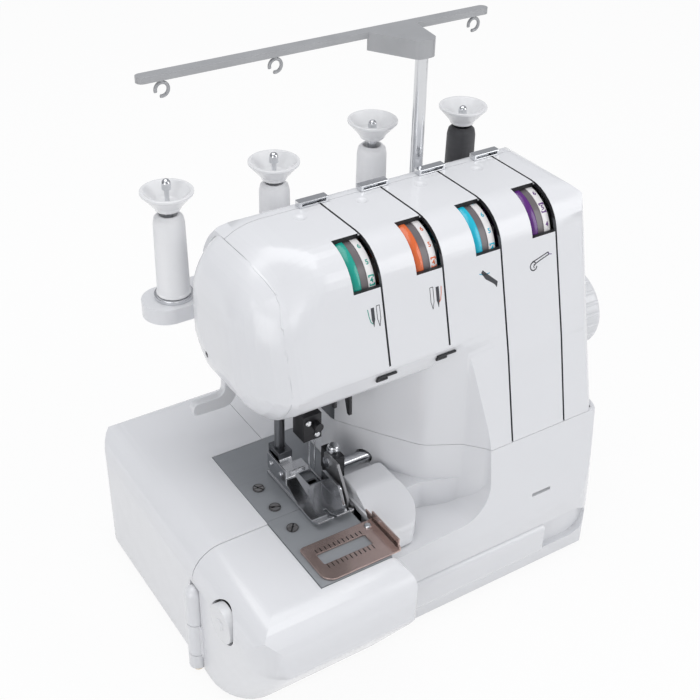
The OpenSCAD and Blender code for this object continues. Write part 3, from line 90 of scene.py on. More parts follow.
class Value:
    def __init__(self, tree, socket):
        self.tree = tree
        self.socket = socket

    def math(self, operation, *others):
        node = self.tree.nodes.new("ShaderNodeMath")
        node.operation = operation
        for slot, term in zip(node.inputs, (self, *others)):
            plug(self.tree, slot, term)
        return Value(self.tree, node.outputs[0])

    def __add__(self, other):
        return self.math("ADD", other)

    def __mul__(self, other):
        return self.math("MULTIPLY", other)

    def __sub__(self, other):
        return self.math("SUBTRACT", other)

    def __rsub__(self, other):
        return (self * -1.0).math("ADD", other)

    __radd__ = __add__
    __rmul__ = __mul__

    def above(self, level, soft=0.02):
        return ((self - level) * (1.0 / soft)).math("ADD", 0.5).clamped()

    def clamped(self):
        return self.math("MAXIMUM", 0.0).math("MINIMUM", 1.0)


def plug(tree, slot, term):
    if isinstance(term, Value):
        tree.links.new(term.socket, slot)
    elif slot.type == "RGBA" and len(term) == 3:
        slot.default_value = (*term, 1.0)
    else:
        slot.default_value = term


class Finish:
    """A material that is written node by node."""

    def __init__(self, name):
        self.material = bpy.data.materials.new(name)
        self.material.use_nodes = True
        self.tree = self.material.node_tree
        self.tree.nodes.clear()

    def node(self, kind, settings=None, output=0, **terms):
        made = self.tree.nodes.new("ShaderNode" + kind)
        for key, setting in (settings or {}).items():
            if key == "stops":
                ramp = made.color_ramp
                while len(ramp.elements) < len(setting):
                    ramp.elements.new(0.5)
                for element, (place, colour) in zip(ramp.elements, setting):
                    element.position = place
                    element.color = (*colour, 1.0)
            else:
                setattr(made, key, setting)
        for key, term in terms.items():
            plug(self.tree, made.inputs[key.replace("_", " ")], term)
        return Value(self.tree, made.outputs[output])

    def place(self):
        return self.node("TexCoord", output="Object")

    def mm(self, axis):
        """One coordinate in the maker's millimetres, counted as the drawing counts them."""
        index = "XYZ".index(axis)
        return self.node("SeparateXYZ", output=index, Vector=self.place()) * 1000.0 + ROW_SHIFT[index]

    def noise(self, scale, detail=2.0, roughness=0.5, vector=None):
        return self.node(
            "TexNoise", Vector=vector or self.place(), Scale=scale, Detail=detail, Roughness=roughness
        )

    def stretched(self, x, y, z):
        return self.node("Mapping", Vector=self.place(), Scale=(x, y, z))

    def bump(self, height, strength, distance, under=None):
        terms = {"Height": height, "Strength": strength, "Distance": distance}
        if under:
            terms["Normal"] = under
        return self.node("Bump", **terms)

    def blend(self, factor, low, high):
        mix = self.tree.nodes.new("ShaderNodeMix")
        mix.data_type = "RGBA"
        plug(self.tree, mix.inputs[0], factor)
        plug(self.tree, mix.inputs[6], low)
        plug(self.tree, mix.inputs[7], high)
        return Value(self.tree, mix.outputs[2])

    def surface(self, **terms):
        shader = self.node("BsdfPrincipled", **terms)
        out = self.tree.nodes.new("ShaderNodeOutputMaterial")
        self.tree.links.new(shader.socket, out.inputs["Surface"])
        return self.material


# ---- Studio: a pale floor that keeps a soft shadow, a white room, and three softboxes
FLOOR_WHITENESS = 0.93

floor_finish = Finish("pale_floor")
floor_lit = floor_finish.node("BsdfDiffuse", Color=(0.86, 0.86, 0.86), Roughness=0.5)
floor_white = floor_finish.node("Emission", Color=(1.0, 1.0, 1.0), Strength=1.0)
floor_seen = floor_finish.node("LightPath", output="Is Camera Ray")
for ray in ("Is Glossy Ray", "Is Transmission Ray"):
    floor_seen = floor_seen.math("MAXIMUM", floor_finish.node("LightPath", output=ray))
floor_mix = floor_finish.tree.nodes.new("ShaderNodeMixShader")
plug(floor_finish.tree, floor_mix.inputs[0], floor_seen * FLOOR_WHITENESS)
floor_finish.tree.links.new(floor_lit.socket, floor_mix.inputs[1])
floor_finish.tree.links.new(floor_white.socket, floor_mix.inputs[2])
floor_out = floor_finish.tree.nodes.new("ShaderNodeOutputMaterial")
floor_finish.tree.links.new(floor_mix.outputs[0], floor_out.inputs["Surface"])
floor_shape = bmesh.new()
bmesh.ops.create_grid(floor_shape, x_segments=1, y_segments=1, size=6.0)
floor_mesh = bpy.data.meshes.new("floor")
floor_shape.to_mesh(floor_mesh)
floor_shape.free()
floor_mesh.materials.append(floor_finish.material)
floor = bpy.data.objects.new("floor", floor_mesh)
bpy.context.collection.objects.link(floor)

world = bpy.data.worlds.new("white_room")
world.use_nodes = True
bpy.context.scene.world = world
room = world.node_tree
room.nodes.clear()
room_light = room.nodes.new("ShaderNodeBackground")
room_light.inputs["Color"].default_value = (0.93, 0.95, 1.0, 1.0)
room_light.inputs["Strength"].default_value = 0.42
room_white = room.nodes.new("ShaderNodeBackground")
room_white.inputs["Color"].default_value = (1.0, 1.0, 1.0, 1.0)
room_white.inputs["Strength"].default_value = 1.0
room_rays = room.nodes.new("ShaderNodeLightPath")
room_seen = Value(room, room_rays.outputs["Is Camera Ray"]).math(
    "MAXIMUM", Value(room, room_rays.outputs["Is Transmission Ray"])
)
room_mix = room.nodes.new("ShaderNodeMixShader")
plug(room, room_mix.inputs[0], room_seen)
room.links.new(room_light.outputs[0], room_mix.inputs[1])
room.links.new(room_white.outputs[0], room_mix.inputs[2])
room_out = room.nodes.new("ShaderNodeOutputWorld")
room.links.new(room_mix.outputs[0], room_out.inputs["Surface"])


def softbox(name, place, target, width, height, power):
    lamp_data = bpy.data.lights.new(name, "AREA")
    lamp_data.shape = "RECTANGLE"
    lamp_data.size = width
    lamp_data.size_y = height
    lamp_data.energy = power
    lamp = bpy.data.objects.new(name, lamp_data)
    bpy.context.collection.objects.link(lamp)
    aim = Vector(target) - Vector(place)
    lamp.matrix_world = Matrix.Translation(place) @ aim.to_track_quat("-Z", "Y").to_matrix().to_4x4()


middle = (0.0, 0.0, 0.15)
softbox("overhead", (-0.15, 0.15, 1.5), middle, 1.2, 1.2, 10.0)
softbox("front_right", (1.3, -1.3, 0.9), middle, 1.0, 1.4, 12.0)
softbox("front_left", (-1.5, -0.9, 0.7), middle, 0.9, 1.3, 8.0)


def dark_card(name, place, target, width, height):
    """A black card that only polished metal sees, so that chrome has something to mirror."""
    shape = bmesh.new()
    bmesh.ops.create_grid(shape, x_segments=1, y_segments=1, size=0.5)
    bmesh.ops.scale(shape, vec=(width, height, 1.0), verts=shape.verts)
    turn = (Vector(target) - Vector(place)).to_track_quat("Z", "Y").to_matrix().to_4x4()
    bmesh.ops.transform(shape, matrix=Matrix.Translation(place) @ turn, verts=shape.verts)
    mesh = bpy.data.meshes.new(name)
    shape.to_mesh(mesh)
    shape.free()
    mesh.materials.append(card_finish.material)
    card = bpy.data.objects.new(name, mesh)
    bpy.context.collection.objects.link(card)
    card.visible_camera = False
    card.visible_diffuse = False
    card.visible_shadow = False


card_finish = Finish("black_card")
card_finish.surface(Base_Color=(0.01, 0.01, 0.012), Roughness=0.9)
dark_card("card_right", (0.9, -0.25, 0.35), middle, 0.35, 0.9)
dark_card("card_left", (-0.9, 0.35, 0.45), middle, 0.30, 0.7)


def at(x, y, z):
    """A place in the drawing's millimetres, as metres in the part's own frame."""
    return Vector(((x - ROW_SHIFT.x) / 1000.0, (y - ROW_SHIFT.y) / 1000.0, z / 1000.0))


def in_mm(place):
    """The way back: a place in the part's frame, in the drawing's millimetres."""
    return place * 1000.0 + ROW_SHIFT


def share(amount):
    """An amount held between none and the whole."""
    return min(max(amount, 0.0), 1.0)


def cut_level(shape, height, near=0.000002):
    """Cuts every face that crosses a height, so that what lies above and below can differ."""
    bmesh.ops.bisect_plane(
        shape, geom=shape.verts[:] + shape.edges[:] + shape.faces[:], dist=near, plane_co=at(0, 0, height),
        plane_no=(0, 0, 1),
    )


def link_piece(name, shape, finish, body):
    mesh = bpy.data.meshes.new(name)
    shape.to_mesh(mesh)
    shape.free()
    mesh.materials.append(finish)
    piece = bpy.data.objects.new(name, mesh)
    bpy.context.collection.objects.link(piece)
    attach(piece, body)
    return piece


def ease(piece, width, segments=2, limit=40.0):
    piece.data.shade_smooth()
    bevel = piece.modifiers.new("eased edges", "BEVEL")
    bevel.width = width
    bevel.segments = segments
    bevel.limit_method = "ANGLE"
    bevel.angle_limit = math.radians(limit)
    bevel.harden_normals = False
    bevel.use_clamp_overlap = True
    even = piece.modifiers.new("even shading", "WEIGHTED_NORMAL")
    even.keep_sharp = True
    even.weight = 60


def loose_shape(node):
    """A node's own solid as a clean mesh: its triangles joined, its flat faces whole."""
    shape = bmesh.new()
    shape.from_mesh(frame["nodes"][node].data)
    bmesh.ops.remove_doubles(shape, verts=shape.verts, dist=0.000002)
    bmesh.ops.dissolve_limit(shape, angle_limit=math.radians(0.4), verts=shape.verts, edges=shape.edges)
    return shape


def eased_copy(node, suffix, finish, width=0.0004, segments=2, limit=42.0, shape=None):
    piece = link_piece(
        node + suffix, shape or loose_shape(node), finish, frame["nodes"][node]["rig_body"]
    )
    ease(piece, width, segments, limit)
    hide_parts(node)
    return piece


def moulded_plastic(name, colour, roughness=0.24, wave=0.35, grain=0.0, gloss=0.25):
    finish = Finish(name)
    wavy = finish.noise(38.0, detail=1.0)
    fine = finish.noise(2600.0, detail=2.0)
    cloud = finish.noise(14.0, detail=3.0)
    shade = finish.blend(cloud * 0.5, colour, tuple(c * 0.965 for c in colour))
    height = finish.bump(wavy, wave, 0.0012)
    height = finish.bump(fine, 0.05 + grain, 0.00012, under=height)
    return finish.surface(
        Base_Color=shade, Roughness=cloud * 0.05 + (roughness - 0.025), IOR=1.5, Normal=height,
        Coat_Weight=gloss, Coat_Roughness=0.12,
    )


def paint(piece, finish, chosen):
    """Gives a second finish to the faces that chosen(centre in mm, normal) picks."""
    piece.data.materials.append(finish)
    for face in piece.data.polygons:
        if chosen(in_mm(face.center), face.normal):
            face.material_index = len(piece.data.materials) - 1


# ---- White covers: injection-moulded ABS with a high gloss, screwed to the frame.
# Only the looper cover moves, on its hinge pin. The mould eases the edges and leaves a faint waviness.
body_white = moulded_plastic("moulded_white", (0.80, 0.805, 0.825))
for cover in ("rear_cover", "bed_cover", "knife_cover", "bumper_bar", "looper_cover"):
    eased_copy(cover, "_skin", body_white, width=0.0006)

# ---- Lower front cover: one more moulding of the same white ABS, screwed up from the pan.
# Its front right corner flares outwards towards the foot, which steadies the machine.
FLARE_X, FLARE_REACH = 96.0, 7.0
RIGHT_SIDE, SEAM_HEIGHT = 148.0, 128.0
lower_shape = loose_shape("lower_cover")
for height in (24.0, 42.0, 60.0, 78.0, 96.0, 112.0):
    cut_level(lower_shape, height)
for vertex in lower_shape.verts:
    x, y, z = (part * 1000.0 + shift for part, shift in zip(vertex.co, ROW_SHIFT))
    low = share((SEAM_HEIGHT - z) / 104.0)
    front = share((60.0 - y) / 36.0)
    right = share((x - FLARE_X) / (RIGHT_SIDE - FLARE_X))
    reach = FLARE_REACH / 1000.0 * math.sin(low * math.pi / 2) ** 1.3
    vertex.co.x += reach * front * front * (3 - 2 * front) * right
eased_copy("lower_cover", "_skin", body_white, width=0.0006, shape=lower_shape)

# ---- Upper cover: the same moulding, cut by four thread channels and four dial windows.
# The channels and the walls round the dials lie in deep shade, which is painted on the white moulding: dark
# grey in the channels, near-black on the window walls.
CHANNELS = (-20.0, 25.0, 70.0, 115.0)
DECK, REAR = 285.0, 134.0
WINDOW_BACK, WINDOW_SILL = 58.08, 261.0
# Painted shade: near-black for the walls round the dial windows, dark grey for the channels on the front.
window_painted_shade = moulded_plastic(
    "window_painted_shade", (0.012, 0.012, 0.014), roughness=0.5, wave=0.1, grain=0.1, gloss=0.0
)
channel_painted_shade = moulded_plastic(
    "channel_painted_shade", (0.10, 0.105, 0.115), roughness=0.40, wave=0.1, grain=0.1, gloss=0.0
)

# The head's left end is rounded: HEAD_END is its tip, SEAM the joint to the end cover, and the
# rounding has died out at CALM. The shells are WALL thick. The painted shade of a channel stops at
# CHANNEL_TURNS, where it turns on to the deck, and a shallow dimple lies beside each.
HEAD_END, SEAM, CALM = -107.0, -87.0, -44.0
WALL = 2.4
FRONT_CREST = Vector((0.0, 14.0, 190.0))
FRONT_INWARDS = Vector((0.0, 0.9693, -0.2457))
END_RADIUS = 44.0
CHANNEL_TURNS = 268.0
DIMPLE_LEFT, DIMPLE_Y, DIMPLE_R = 20.0, 93.0, 4.8


def rounded_head(place):
    """Pulls a point of the head's skin in, so that its planes meet in wide soft corners."""
    grow = share((CALM - place.x) / (CALM - SEAM))
    grow = grow * grow * (3.0 - 2.0 * grow)
    top_radius, rear_radius = 14.0 + 32.0 * grow, 6.0 + 24.0 * grow
    sides = (
        (Vector((0.0, 0.0, -1.0)), DECK - place.z, top_radius),
        (FRONT_INWARDS, (place - FRONT_CREST).dot(FRONT_INWARDS), top_radius),
        (Vector((1.0, 0.0, 0.0)), place.x - HEAD_END, END_RADIUS),
        (Vector((0.0, -1.0, 0.0)), REAR - place.y, rear_radius),
    )
    pull = [max(0.0, 1.0 - distance / radius) for _, distance, radius in sides]
    length = math.sqrt(sum(part * part for part in pull))
    if length <= 1.0:
        return place
    moved = place.copy()
    for (inwards, distance, radius), part in zip(sides, pull):
        if part > 0.0:
            moved += inwards * (radius * (1.0 - part / length) - distance)
    return moved


def head_shape(node):
    """A head moulding cut finely enough to be rounded, outer and inner skin alike."""
    shape = loose_shape(node)
    middle_of_head = at(-60, 76, 226)
    calm = at(CALM, 0, 0).x
    rows = (((1, 0, 0), -104.0, CALM, 3.0), ((0, 1, 0), 20.0, REAR, 4.0), ((0, 0, 1), 180.0, DECK, 4.0))
    for normal, place, last, step in rows:
        while place < last:
            near = [face for face in shape.faces if min(vertex.co.x for vertex in face.verts) < calm]
            corners = dict.fromkeys(vertex for face in near for vertex in face.verts)
            sides = dict.fromkeys(edge for face in near for edge in face.edges)
            bmesh.ops.bisect_plane(
                shape, geom=[*corners, *sides, *near], dist=0.00001,
                plane_co=at(*(place * part for part in normal)), plane_no=normal,
            )
            place += step
    for height in (205.0, CHANNEL_TURNS):
        cut_level(shape, height, near=0.00001)
    shape.normal_update()
    for vertex in shape.verts:
        here = in_mm(vertex.co)
        if here.x > CALM:
            from_dimple = min(
                math.hypot(here.x - channel + DIMPLE_LEFT, here.y - DIMPLE_Y) for channel in CHANNELS
            )
            if from_dimple < DIMPLE_R and DECK - 2.0 < here.z < DECK - 0.05:
                vertex.co.z -= (DECK - here.z) / 1000.0
            continue
        if abs(here.x - SEAM) < 0.4:
            here.x = SEAM
        inner = vertex.normal.dot(vertex.co - middle_of_head) < 0.0
        shift = vertex.normal * WALL if inner else Vector((0.0, 0.0, 0.0))
        vertex.co = (rounded_head(here - shift) + shift - ROW_SHIFT) / 1000.0
    return shape


upper_skin = eased_copy("upper_cover", "_skin", body_white, width=0.0002, shape=head_shape("upper_cover"))
eased_copy("head_end_cover", "_skin", body_white, width=0.0002, shape=head_shape("head_end_cover"))


def in_window(centre, normal):
    for channel in CHANNELS:
        beside = channel - 20.0 < centre.x < channel + 1.2
        if not (beside and centre.y < WINDOW_BACK + 0.42 and centre.z > 255.0):
            continue
        back_wall = abs(centre.y - WINDOW_BACK) < 0.4 and normal.y < -0.8
        sill = abs(centre.z - WINDOW_SILL) < 0.5 and normal.z > 0.8
        right_wall = abs(centre.x - channel - 0.7) < 0.3 and normal.x < -0.8
        if back_wall or sill or right_wall:
            return True
    return False


def in_channel(centre, normal):
    beside = min(abs(centre.x - channel) for channel in CHANNELS)
    return beside < 0.72 and 100.0 < centre.z < CHANNEL_TURNS


# Paint the shade on the window walls and in the channels on the front.
paint(upper_skin, window_painted_shade, in_window)
paint(upper_skin, channel_painted_shade, in_channel)

# ---- Tension dials: four drums, each with a coloured rim, a dark sleeve and a white number band.
# Rim and sleeve are glossy ABS, the figures are pad-printed in the rim's colour.
DIAL_Y, DIAL_Z, DIAL_R = 62.08, 255.0, 27.2
DIAL_WIDE = 17.7
DIAL_LEFT = 18.7
RIM_WIDE, SLEEVE_END = 7.2, 12.4


def work_text(body, size):
    """A flat figure as a mesh, centred on its own middle, size in millimetres."""
    curve = bpy.data.curves.new("figure", "FONT")
    curve.body = body
    curve.size = size
    curve.align_x = "CENTER"
    curve.align_y = "CENTER"
    curve.resolution_u = 4
    curve.offset = size * 0.022
    holder = bpy.data.objects.new("figure", curve)
    bpy.context.collection.objects.link(holder)
    bpy.context.view_layer.update()
    flat = bpy.data.meshes.new_from_object(holder.evaluated_get(bpy.context.evaluated_depsgraph_get()))
    bpy.data.objects.remove(holder)
    bpy.data.curves.remove(curve)
    shape = bmesh.new()
    shape.from_mesh(flat)
    bpy.data.meshes.remove(flat)
    bmesh.ops.remove_doubles(shape, verts=shape.verts, dist=0.001)
    bmesh.ops.triangulate(shape, faces=shape.faces)
    return shape


def around_drum(shape, x, turn):
    """Thickens flat print and wraps it on the drum: its own up goes backwards over the top."""
    made = bmesh.ops.extrude_face_region(shape, geom=shape.faces[:])
    lifted = [item for item in made["geom"] if isinstance(item, bmesh.types.BMVert)]
    bmesh.ops.translate(shape, vec=(0, 0, FIGURE_DEPTH), verts=lifted)
    bmesh.ops.recalc_face_normals(shape, faces=shape.faces)
    for vertex in shape.verts:
        angle = turn - vertex.co.y / PRINT_R
        reach = PRINT_R + vertex.co.z
        vertex.co = at(x + vertex.co.x, DIAL_Y - reach * math.sin(angle), DIAL_Z + reach * math.cos(angle))


def pour(shape, into):
    """Adds one shape to another and lets go of it."""
    scratch = bpy.data.meshes.new("scratch")
    shape.to_mesh(scratch)
    shape.free()
    into.from_mesh(scratch)
    bpy.data.meshes.remove(scratch)


def dial_plastic(name, rim_colour, start):
    finish = Finish(name)
    x = finish.mm("X")
    sleeve = x.above(start + RIM_WIDE, 0.15)
    band = x.above(start + SLEEVE_END, 0.15)
    cloud = finish.noise(60.0, detail=2.0)
    shade = finish.blend(sleeve, rim_colour, (0.145, 0.128, 0.135))
    shade = finish.blend(band, shade, (0.84, 0.82, 0.82))
    shade = finish.blend(cloud * 0.05, shade, (0.4, 0.4, 0.4))
    fine = finish.noise(2200.0, detail=2.0)
    return finish.surface(
        Base_Color=shade, Roughness=sleeve * (1.0 - band) * 0.12 + cloud * 0.06 + 0.2, IOR=1.5,
        Normal=finish.bump(fine, 0.06, 0.0001), Coat_Weight=0.2, Coat_Roughness=0.1,
    )


dial_colours = {
    "left_needle_dial": (0.0, 0.36, 0.28),
    "right_needle_dial": (0.78, 0.15, 0.035),
    "upper_looper_dial": (0.0, 0.50, 0.68),
    "lower_looper_dial": (0.11, 0.012, 0.20),
}
FIVES_AT = (46.0, 48.0, 54.0, 45.0)
BRACKETS_AT = (70.0, 72.0, 78.0, 45.0)
FIGURE_STEP, FIGURE_SIZE, FIGURE_DEPTH = 24.0, 4.4, 0.07
PRINT_R = DIAL_R - 0.62
BRACKET_BARS = ((3.9, 0.9, 0.0, 2.9), (0.8, 1.1, -1.55, 2.3), (0.8, 1.1, 1.55, 2.3))
DRUM_PROFILE = (
    (0.0, 7.0), (0.0, DIAL_R - 2.6), (0.5, DIAL_R - 1.8), (1.6, DIAL_R - 1.0), (3.0, DIAL_R - 0.35),
    (4.6, DIAL_R), (RIM_WIDE - 0.6, DIAL_R - 0.1), (RIM_WIDE, DIAL_R - 0.4), (RIM_WIDE + 0.05, DIAL_R - 1.2),
    (SLEEVE_END - 0.05, DIAL_R - 1.2), (SLEEVE_END, DIAL_R - 0.7), (SLEEVE_END + 0.1, DIAL_R - 0.6),
    (DIAL_WIDE - 0.5, DIAL_R - 0.6), (DIAL_WIDE, DIAL_R - 1.1), (DIAL_WIDE, 7.0),
)
for number, (node, tint) in enumerate(dial_colours.items()):
    start = CHANNELS[number] - DIAL_LEFT
    drum = bmesh.new()
    rail = [drum.verts.new(at(start + along, DIAL_Y, DIAL_Z + radius)) for along, radius in DRUM_PROFILE]
    for first, second in zip(rail, rail[1:] + rail[:1]):
        drum.edges.new((first, second))
    bmesh.ops.spin(
        drum, geom=drum.verts[:] + drum.edges[:], cent=at(0, DIAL_Y, DIAL_Z), axis=(1, 0, 0),
        angle=math.tau, steps=96, use_merge=True,
    )
    bmesh.ops.remove_doubles(drum, verts=drum.verts, dist=0.000002)
    bmesh.ops.recalc_face_normals(drum, faces=drum.faces)
    body = frame["nodes"][node]["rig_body"]
    plastic = dial_plastic(node + "_plastic", tint, start)
    piece = link_piece(node + "_drum", drum, plastic, body)
    ease(piece, 0.0001, 1, 60.0)
    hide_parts(node)

    ink = Finish(node + "_ink")
    speck = ink.noise(900.0, detail=2.0)
    ink_tone = ink.blend(speck * 0.3, tint, tuple(min(1.0, part + 0.05) for part in tint))
    ink.surface(Base_Color=ink_tone, Roughness=speck * 0.1 + 0.3, Normal=ink.bump(speck, 0.1, 0.00005))
    figures = bmesh.new()
    print_x = start + (SLEEVE_END + DIAL_WIDE) / 2
    for step in range(10):
        figure = work_text(str(9 - step), FIGURE_SIZE)
        around_drum(figure, print_x, math.radians(FIVES_AT[number] + FIGURE_STEP * (step - 4)))
        pour(figure, figures)
    for side in (-1, 1):
        bars = bmesh.new()
        for width, height, shift_x, shift_y in BRACKET_BARS:
            grid = bmesh.ops.create_grid(bars, x_segments=2, y_segments=2, size=0.5)
            bmesh.ops.scale(bars, vec=(width, height, 1.0), verts=grid["verts"])
            bmesh.ops.translate(bars, vec=(shift_x, shift_y * side, 0.0), verts=grid["verts"])
        around_drum(bars, print_x, math.radians(BRACKETS_AT[number]))
        pour(bars, figures)
    bmesh.ops.recalc_face_normals(figures, faces=figures.faces)
    link_piece(node + "_figures", figures, ink.material, body)

# ---- Threading marks: small pad-printed pictograms on the front, one beside each channel.
# Two show the left and right needle, two show the upper and lower looper, each with its thread.
upper_form = bmesh.new()
upper_form.from_mesh(frame["nodes"]["upper_cover"].data)
front_face = BVHTree.FromBMesh(upper_form)
upper_form.free()
INK_DEPTH, INK_LIFT = 0.00006, 0.00001


def on_front(x, z):
    """The place just proud of the front, at an x and a height."""
    hit = front_face.ray_cast(at(x, -60.0, z), Vector((0.0, 1.0, 0.0)))[0]
    return hit - Vector((0.0, INK_LIFT, 0.0))


def printed(name, finish, outlines):
    """Thin ink shapes on the front, from outlines in x and height."""
    shape = bmesh.new()
    for outline in outlines:
        face = shape.faces.new([shape.verts.new(on_front(x, z)) for x, z in outline])
        made = bmesh.ops.extrude_face_region(shape, geom=[face])
        lifted = [item for item in made["geom"] if isinstance(item, bmesh.types.BMVert)]
        bmesh.ops.translate(shape, vec=(0.0, -INK_DEPTH, 0.0), verts=lifted)
    bmesh.ops.recalc_face_normals(shape, faces=shape.faces)
    link_piece(name, shape, finish, "machine")


def stroke(points, width):
    """A line of even width through points, as one four-sided outline for each stretch."""
    pieces = []
    for (x0, z0), (x1, z1) in zip(points, points[1:]):
        length = math.hypot(x1 - x0, z1 - z0)
        across = ((z1 - z0) / length * width / 2, (x0 - x1) / length * width / 2)
        pieces.append([
            (x0 + across[0], z0 + across[1]), (x1 + across[0], z1 + across[1]),
            (x1 - across[0], z1 - across[1]), (x0 - across[0], z0 - across[1]),
        ])
    return pieces


def needle_sign(x, top, low, filled):
    """A needle seen from the front: a flat-topped shank that tapers to its point."""
    shape = [
        (x - 1.15, top), (x + 1.15, top), (x + 1.15, low + 4.4), (x + 0.7, low + 3.0),
        (x + 0.1, low), (x - 0.1, low), (x - 0.7, low + 3.0), (x - 1.15, low + 4.4),
    ]
    return [shape] if filled else stroke(shape + shape[:1], 0.4)


def ink_of(name, colour):
    ink = Finish(name)
    speck = ink.noise(1400.0, detail=2.0)
    tone = ink.blend(speck * 0.35, colour, tuple(part * 0.7 + 0.06 for part in colour))
    return ink.surface(Base_Color=tone, Roughness=speck * 0.15 + 0.35, Normal=ink.bump(speck, 0.1, 0.00004))


sign_grey = ink_of("sign_grey", (0.03, 0.032, 0.042))
printed("needle_signs", sign_grey, [
    *needle_sign(-28.0, 250.2, 238.4, True), *needle_sign(-24.0, 250.7, 238.0, False),
    *needle_sign(15.1, 250.9, 237.3, False), *needle_sign(19.4, 250.3, 237.3, True),
])
upper_looper_blade = [
    (53.2, 249.6), (54.6, 251.2), (58.4, 247.6), (65.6, 241.2), (64.6, 237.6), (63.0, 240.0), (61.2, 241.4),
    (56.4, 244.9),
]
lower_looper_hook = [
    (96.9, 245.0), (95.2, 246.0), (93.2, 245.2), (92.2, 243.2), (92.9, 241.2), (94.8, 240.2), (96.8, 240.9),
    (97.7, 242.6),
]
printed("looper_signs", sign_grey, [
    upper_looper_blade,
    *stroke(lower_looper_hook, 0.8),
    *stroke([(94.0, 245.9), (99.6, 247.2), (107.6, 249.3)], 0.7),
    *stroke([(95.2, 243.8), (100.4, 245.6), (108.0, 247.6), (107.6, 249.3)], 0.7),
    *stroke([(96.6, 244.0), (95.0, 243.0), (95.6, 241.6)], 0.6),
])
THREAD_SIGNS = (
    (
        "left_needle", "teal_ink", (0.0, 0.30, 0.22),
        [(-31.4, 250.0), (-30.9, 245.6), (-30.0, 241.8), (-28.6, 240.4)],
    ),
    (
        "right_needle", "orange_ink", (0.70, 0.12, 0.03),
        [(22.4, 250.0), (22.0, 245.6), (21.2, 241.6), (19.9, 240.2)],
    ),
    ("upper_looper", "cyan_ink", (0.0, 0.36, 0.55), [(51.8, 249.4), (55.0, 248.0), (59.9, 248.2)]),
    ("lower_looper", "purple_ink", (0.15, 0.07, 0.28), [(107.3, 248.9), (108.6, 247.6), (110.4, 247.3)]),
)
for thread, ink_name, colour, line in THREAD_SIGNS:
    printed(thread + "_thread_sign", ink_of(ink_name, colour), stroke(line, 0.5))


# ---- Bright steel: needle and presser bars, foot, guides and mast, turned or pressed and plated.
# Polished nickel or chrome, with faint smudges and hair-fine polishing lines.
def plated(name, tint, roughness, stretch=(1.0, 1.0, 1.0), lines=0.04):
    finish = Finish(name)
    smudge = finish.noise(45.0, detail=3.0)
    hair = finish.noise(900.0, detail=2.0, vector=finish.stretched(*stretch))
    tone = finish.blend(smudge * 0.6, tint, tuple(part * 0.86 for part in tint))
    return finish.surface(
        Base_Color=tone, Metallic=1.0, Roughness=smudge * 0.08 + hair * 0.05 + (roughness - 0.06),
        Normal=finish.bump(hair, lines, 0.00006),
    )


chrome = plated("chrome", (0.72, 0.73, 0.75), 0.14)
chrome_upright = plated("chrome_upright", (0.72, 0.73, 0.75), 0.16, stretch=(1.0, 1.0, 0.05))
nickel = plated("nickel", (0.50, 0.50, 0.51), 0.26, lines=0.06)
for node, width in (
    ("needle_bar", 0.0003), ("mast_outer", 0.0003), ("mast_inner", 0.0004), ("spool_pins", 0.0003),
    ("needles", 0.00005),
):
    eased_copy(node, "_rod", chrome_upright, width=width)
for node, width in (("deck_guides", 0.0004), ("tension_studs", 0.0002), ("tension_discs", 0.0002)):
    eased_copy(node, "_bright", chrome, width=width)
for node, width in (("main_shaft", 0.0003), ("motor_pulley", 0.0003)):
    eased_copy(node, "_nickel", nickel, width=width)

# ---- Presser: a nickelled coil spring on the bar, a plated pressed foot and the bar itself.
# On the machine the spring's top end stays, so it shortens by the bar's whole lift; here it keeps one
# length.
presser_coil = link_piece(
    "presser_spring_coil", loose_shape("presser_spring"), nickel, "machine"
)
presser_coil.data.shade_smooth()
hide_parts("presser_spring")
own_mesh(presser_coil)
foot_chrome = plated("foot_chrome", (0.58, 0.585, 0.60), 0.17, lines=0.05)
eased_copy("presser_foot", "_plated", foot_chrome, width=0.0003)
presser_grey = plated("presser_grey", (0.16, 0.165, 0.175), 0.30)
eased_copy("presser_bar", "_rod", presser_grey, width=0.0003)


# ---- Satin steel: cloth plate and needle plate, blanked, ground along their length and lacquered.
# The ground lines run along x and dull the mirror to a soft grey sheen.
def satin(name, colour, roughness, stretch, metallic=0.75):
    finish = Finish(name)
    ground = finish.noise(420.0, detail=4.0, roughness=0.7, vector=finish.stretched(*stretch))
    patch = finish.noise(18.0, detail=2.0)
    tone = finish.blend(ground * 0.5 + patch * 0.3, colour, tuple(part * 0.82 for part in colour))
    return finish.surface(
        Base_Color=tone, Metallic=metallic, Roughness=ground * 0.16 + patch * 0.06 + (roughness - 0.1),
        Normal=finish.bump(ground, 0.12, 0.00008),
    )


plate_steel = satin("plate_steel", (0.33, 0.345, 0.365), 0.46, (0.06, 1.0, 1.0), metallic=0.15)
for node in ("cloth_plate", "needle_plate"):
    eased_copy(node, "_satin", plate_steel, width=0.0002)

# ---- Plate screws: three slotted countersunk heads in the needle and cloth plates.
# Each slot is turned another way, as they were left; the shade in each slot and in the gap round each head
# is painted near-black.
SCREW_X = -82.6
SCREWS = ((0.5, 76.7), (1.1, 54.5), (-0.7, 31.5))
screw_head = Finish("slotted_screw")
screw_x = screw_head.mm("X") - SCREW_X
cuts, rims = [], []
for turn, screw_y in SCREWS:
    beside = screw_head.mm("Y") - screw_y
    across = screw_x * math.cos(turn) + beside * math.sin(turn)
    reach = (screw_x * screw_x + beside * beside).math("SQRT")
    near = 1.0 - reach.above(5.0, 0.1)
    cuts.append(near * (1.0 - across.math("ABSOLUTE").above(0.55, 0.15)))
    rims.append(near * reach.above(3.25, 0.3))
cut, rim = cuts[0] + cuts[1] + cuts[2], rims[0] + rims[1] + rims[2]
worn_head = screw_head.noise(220.0, detail=3.0)
head_tone = screw_head.blend(worn_head, (0.34, 0.33, 0.33), (0.20, 0.195, 0.195))
# Painted shade: the slot and the gap round each head are darkened almost to black.
head_tone = screw_head.blend((cut + rim * 0.7).clamped(), head_tone, (0.015, 0.015, 0.016))
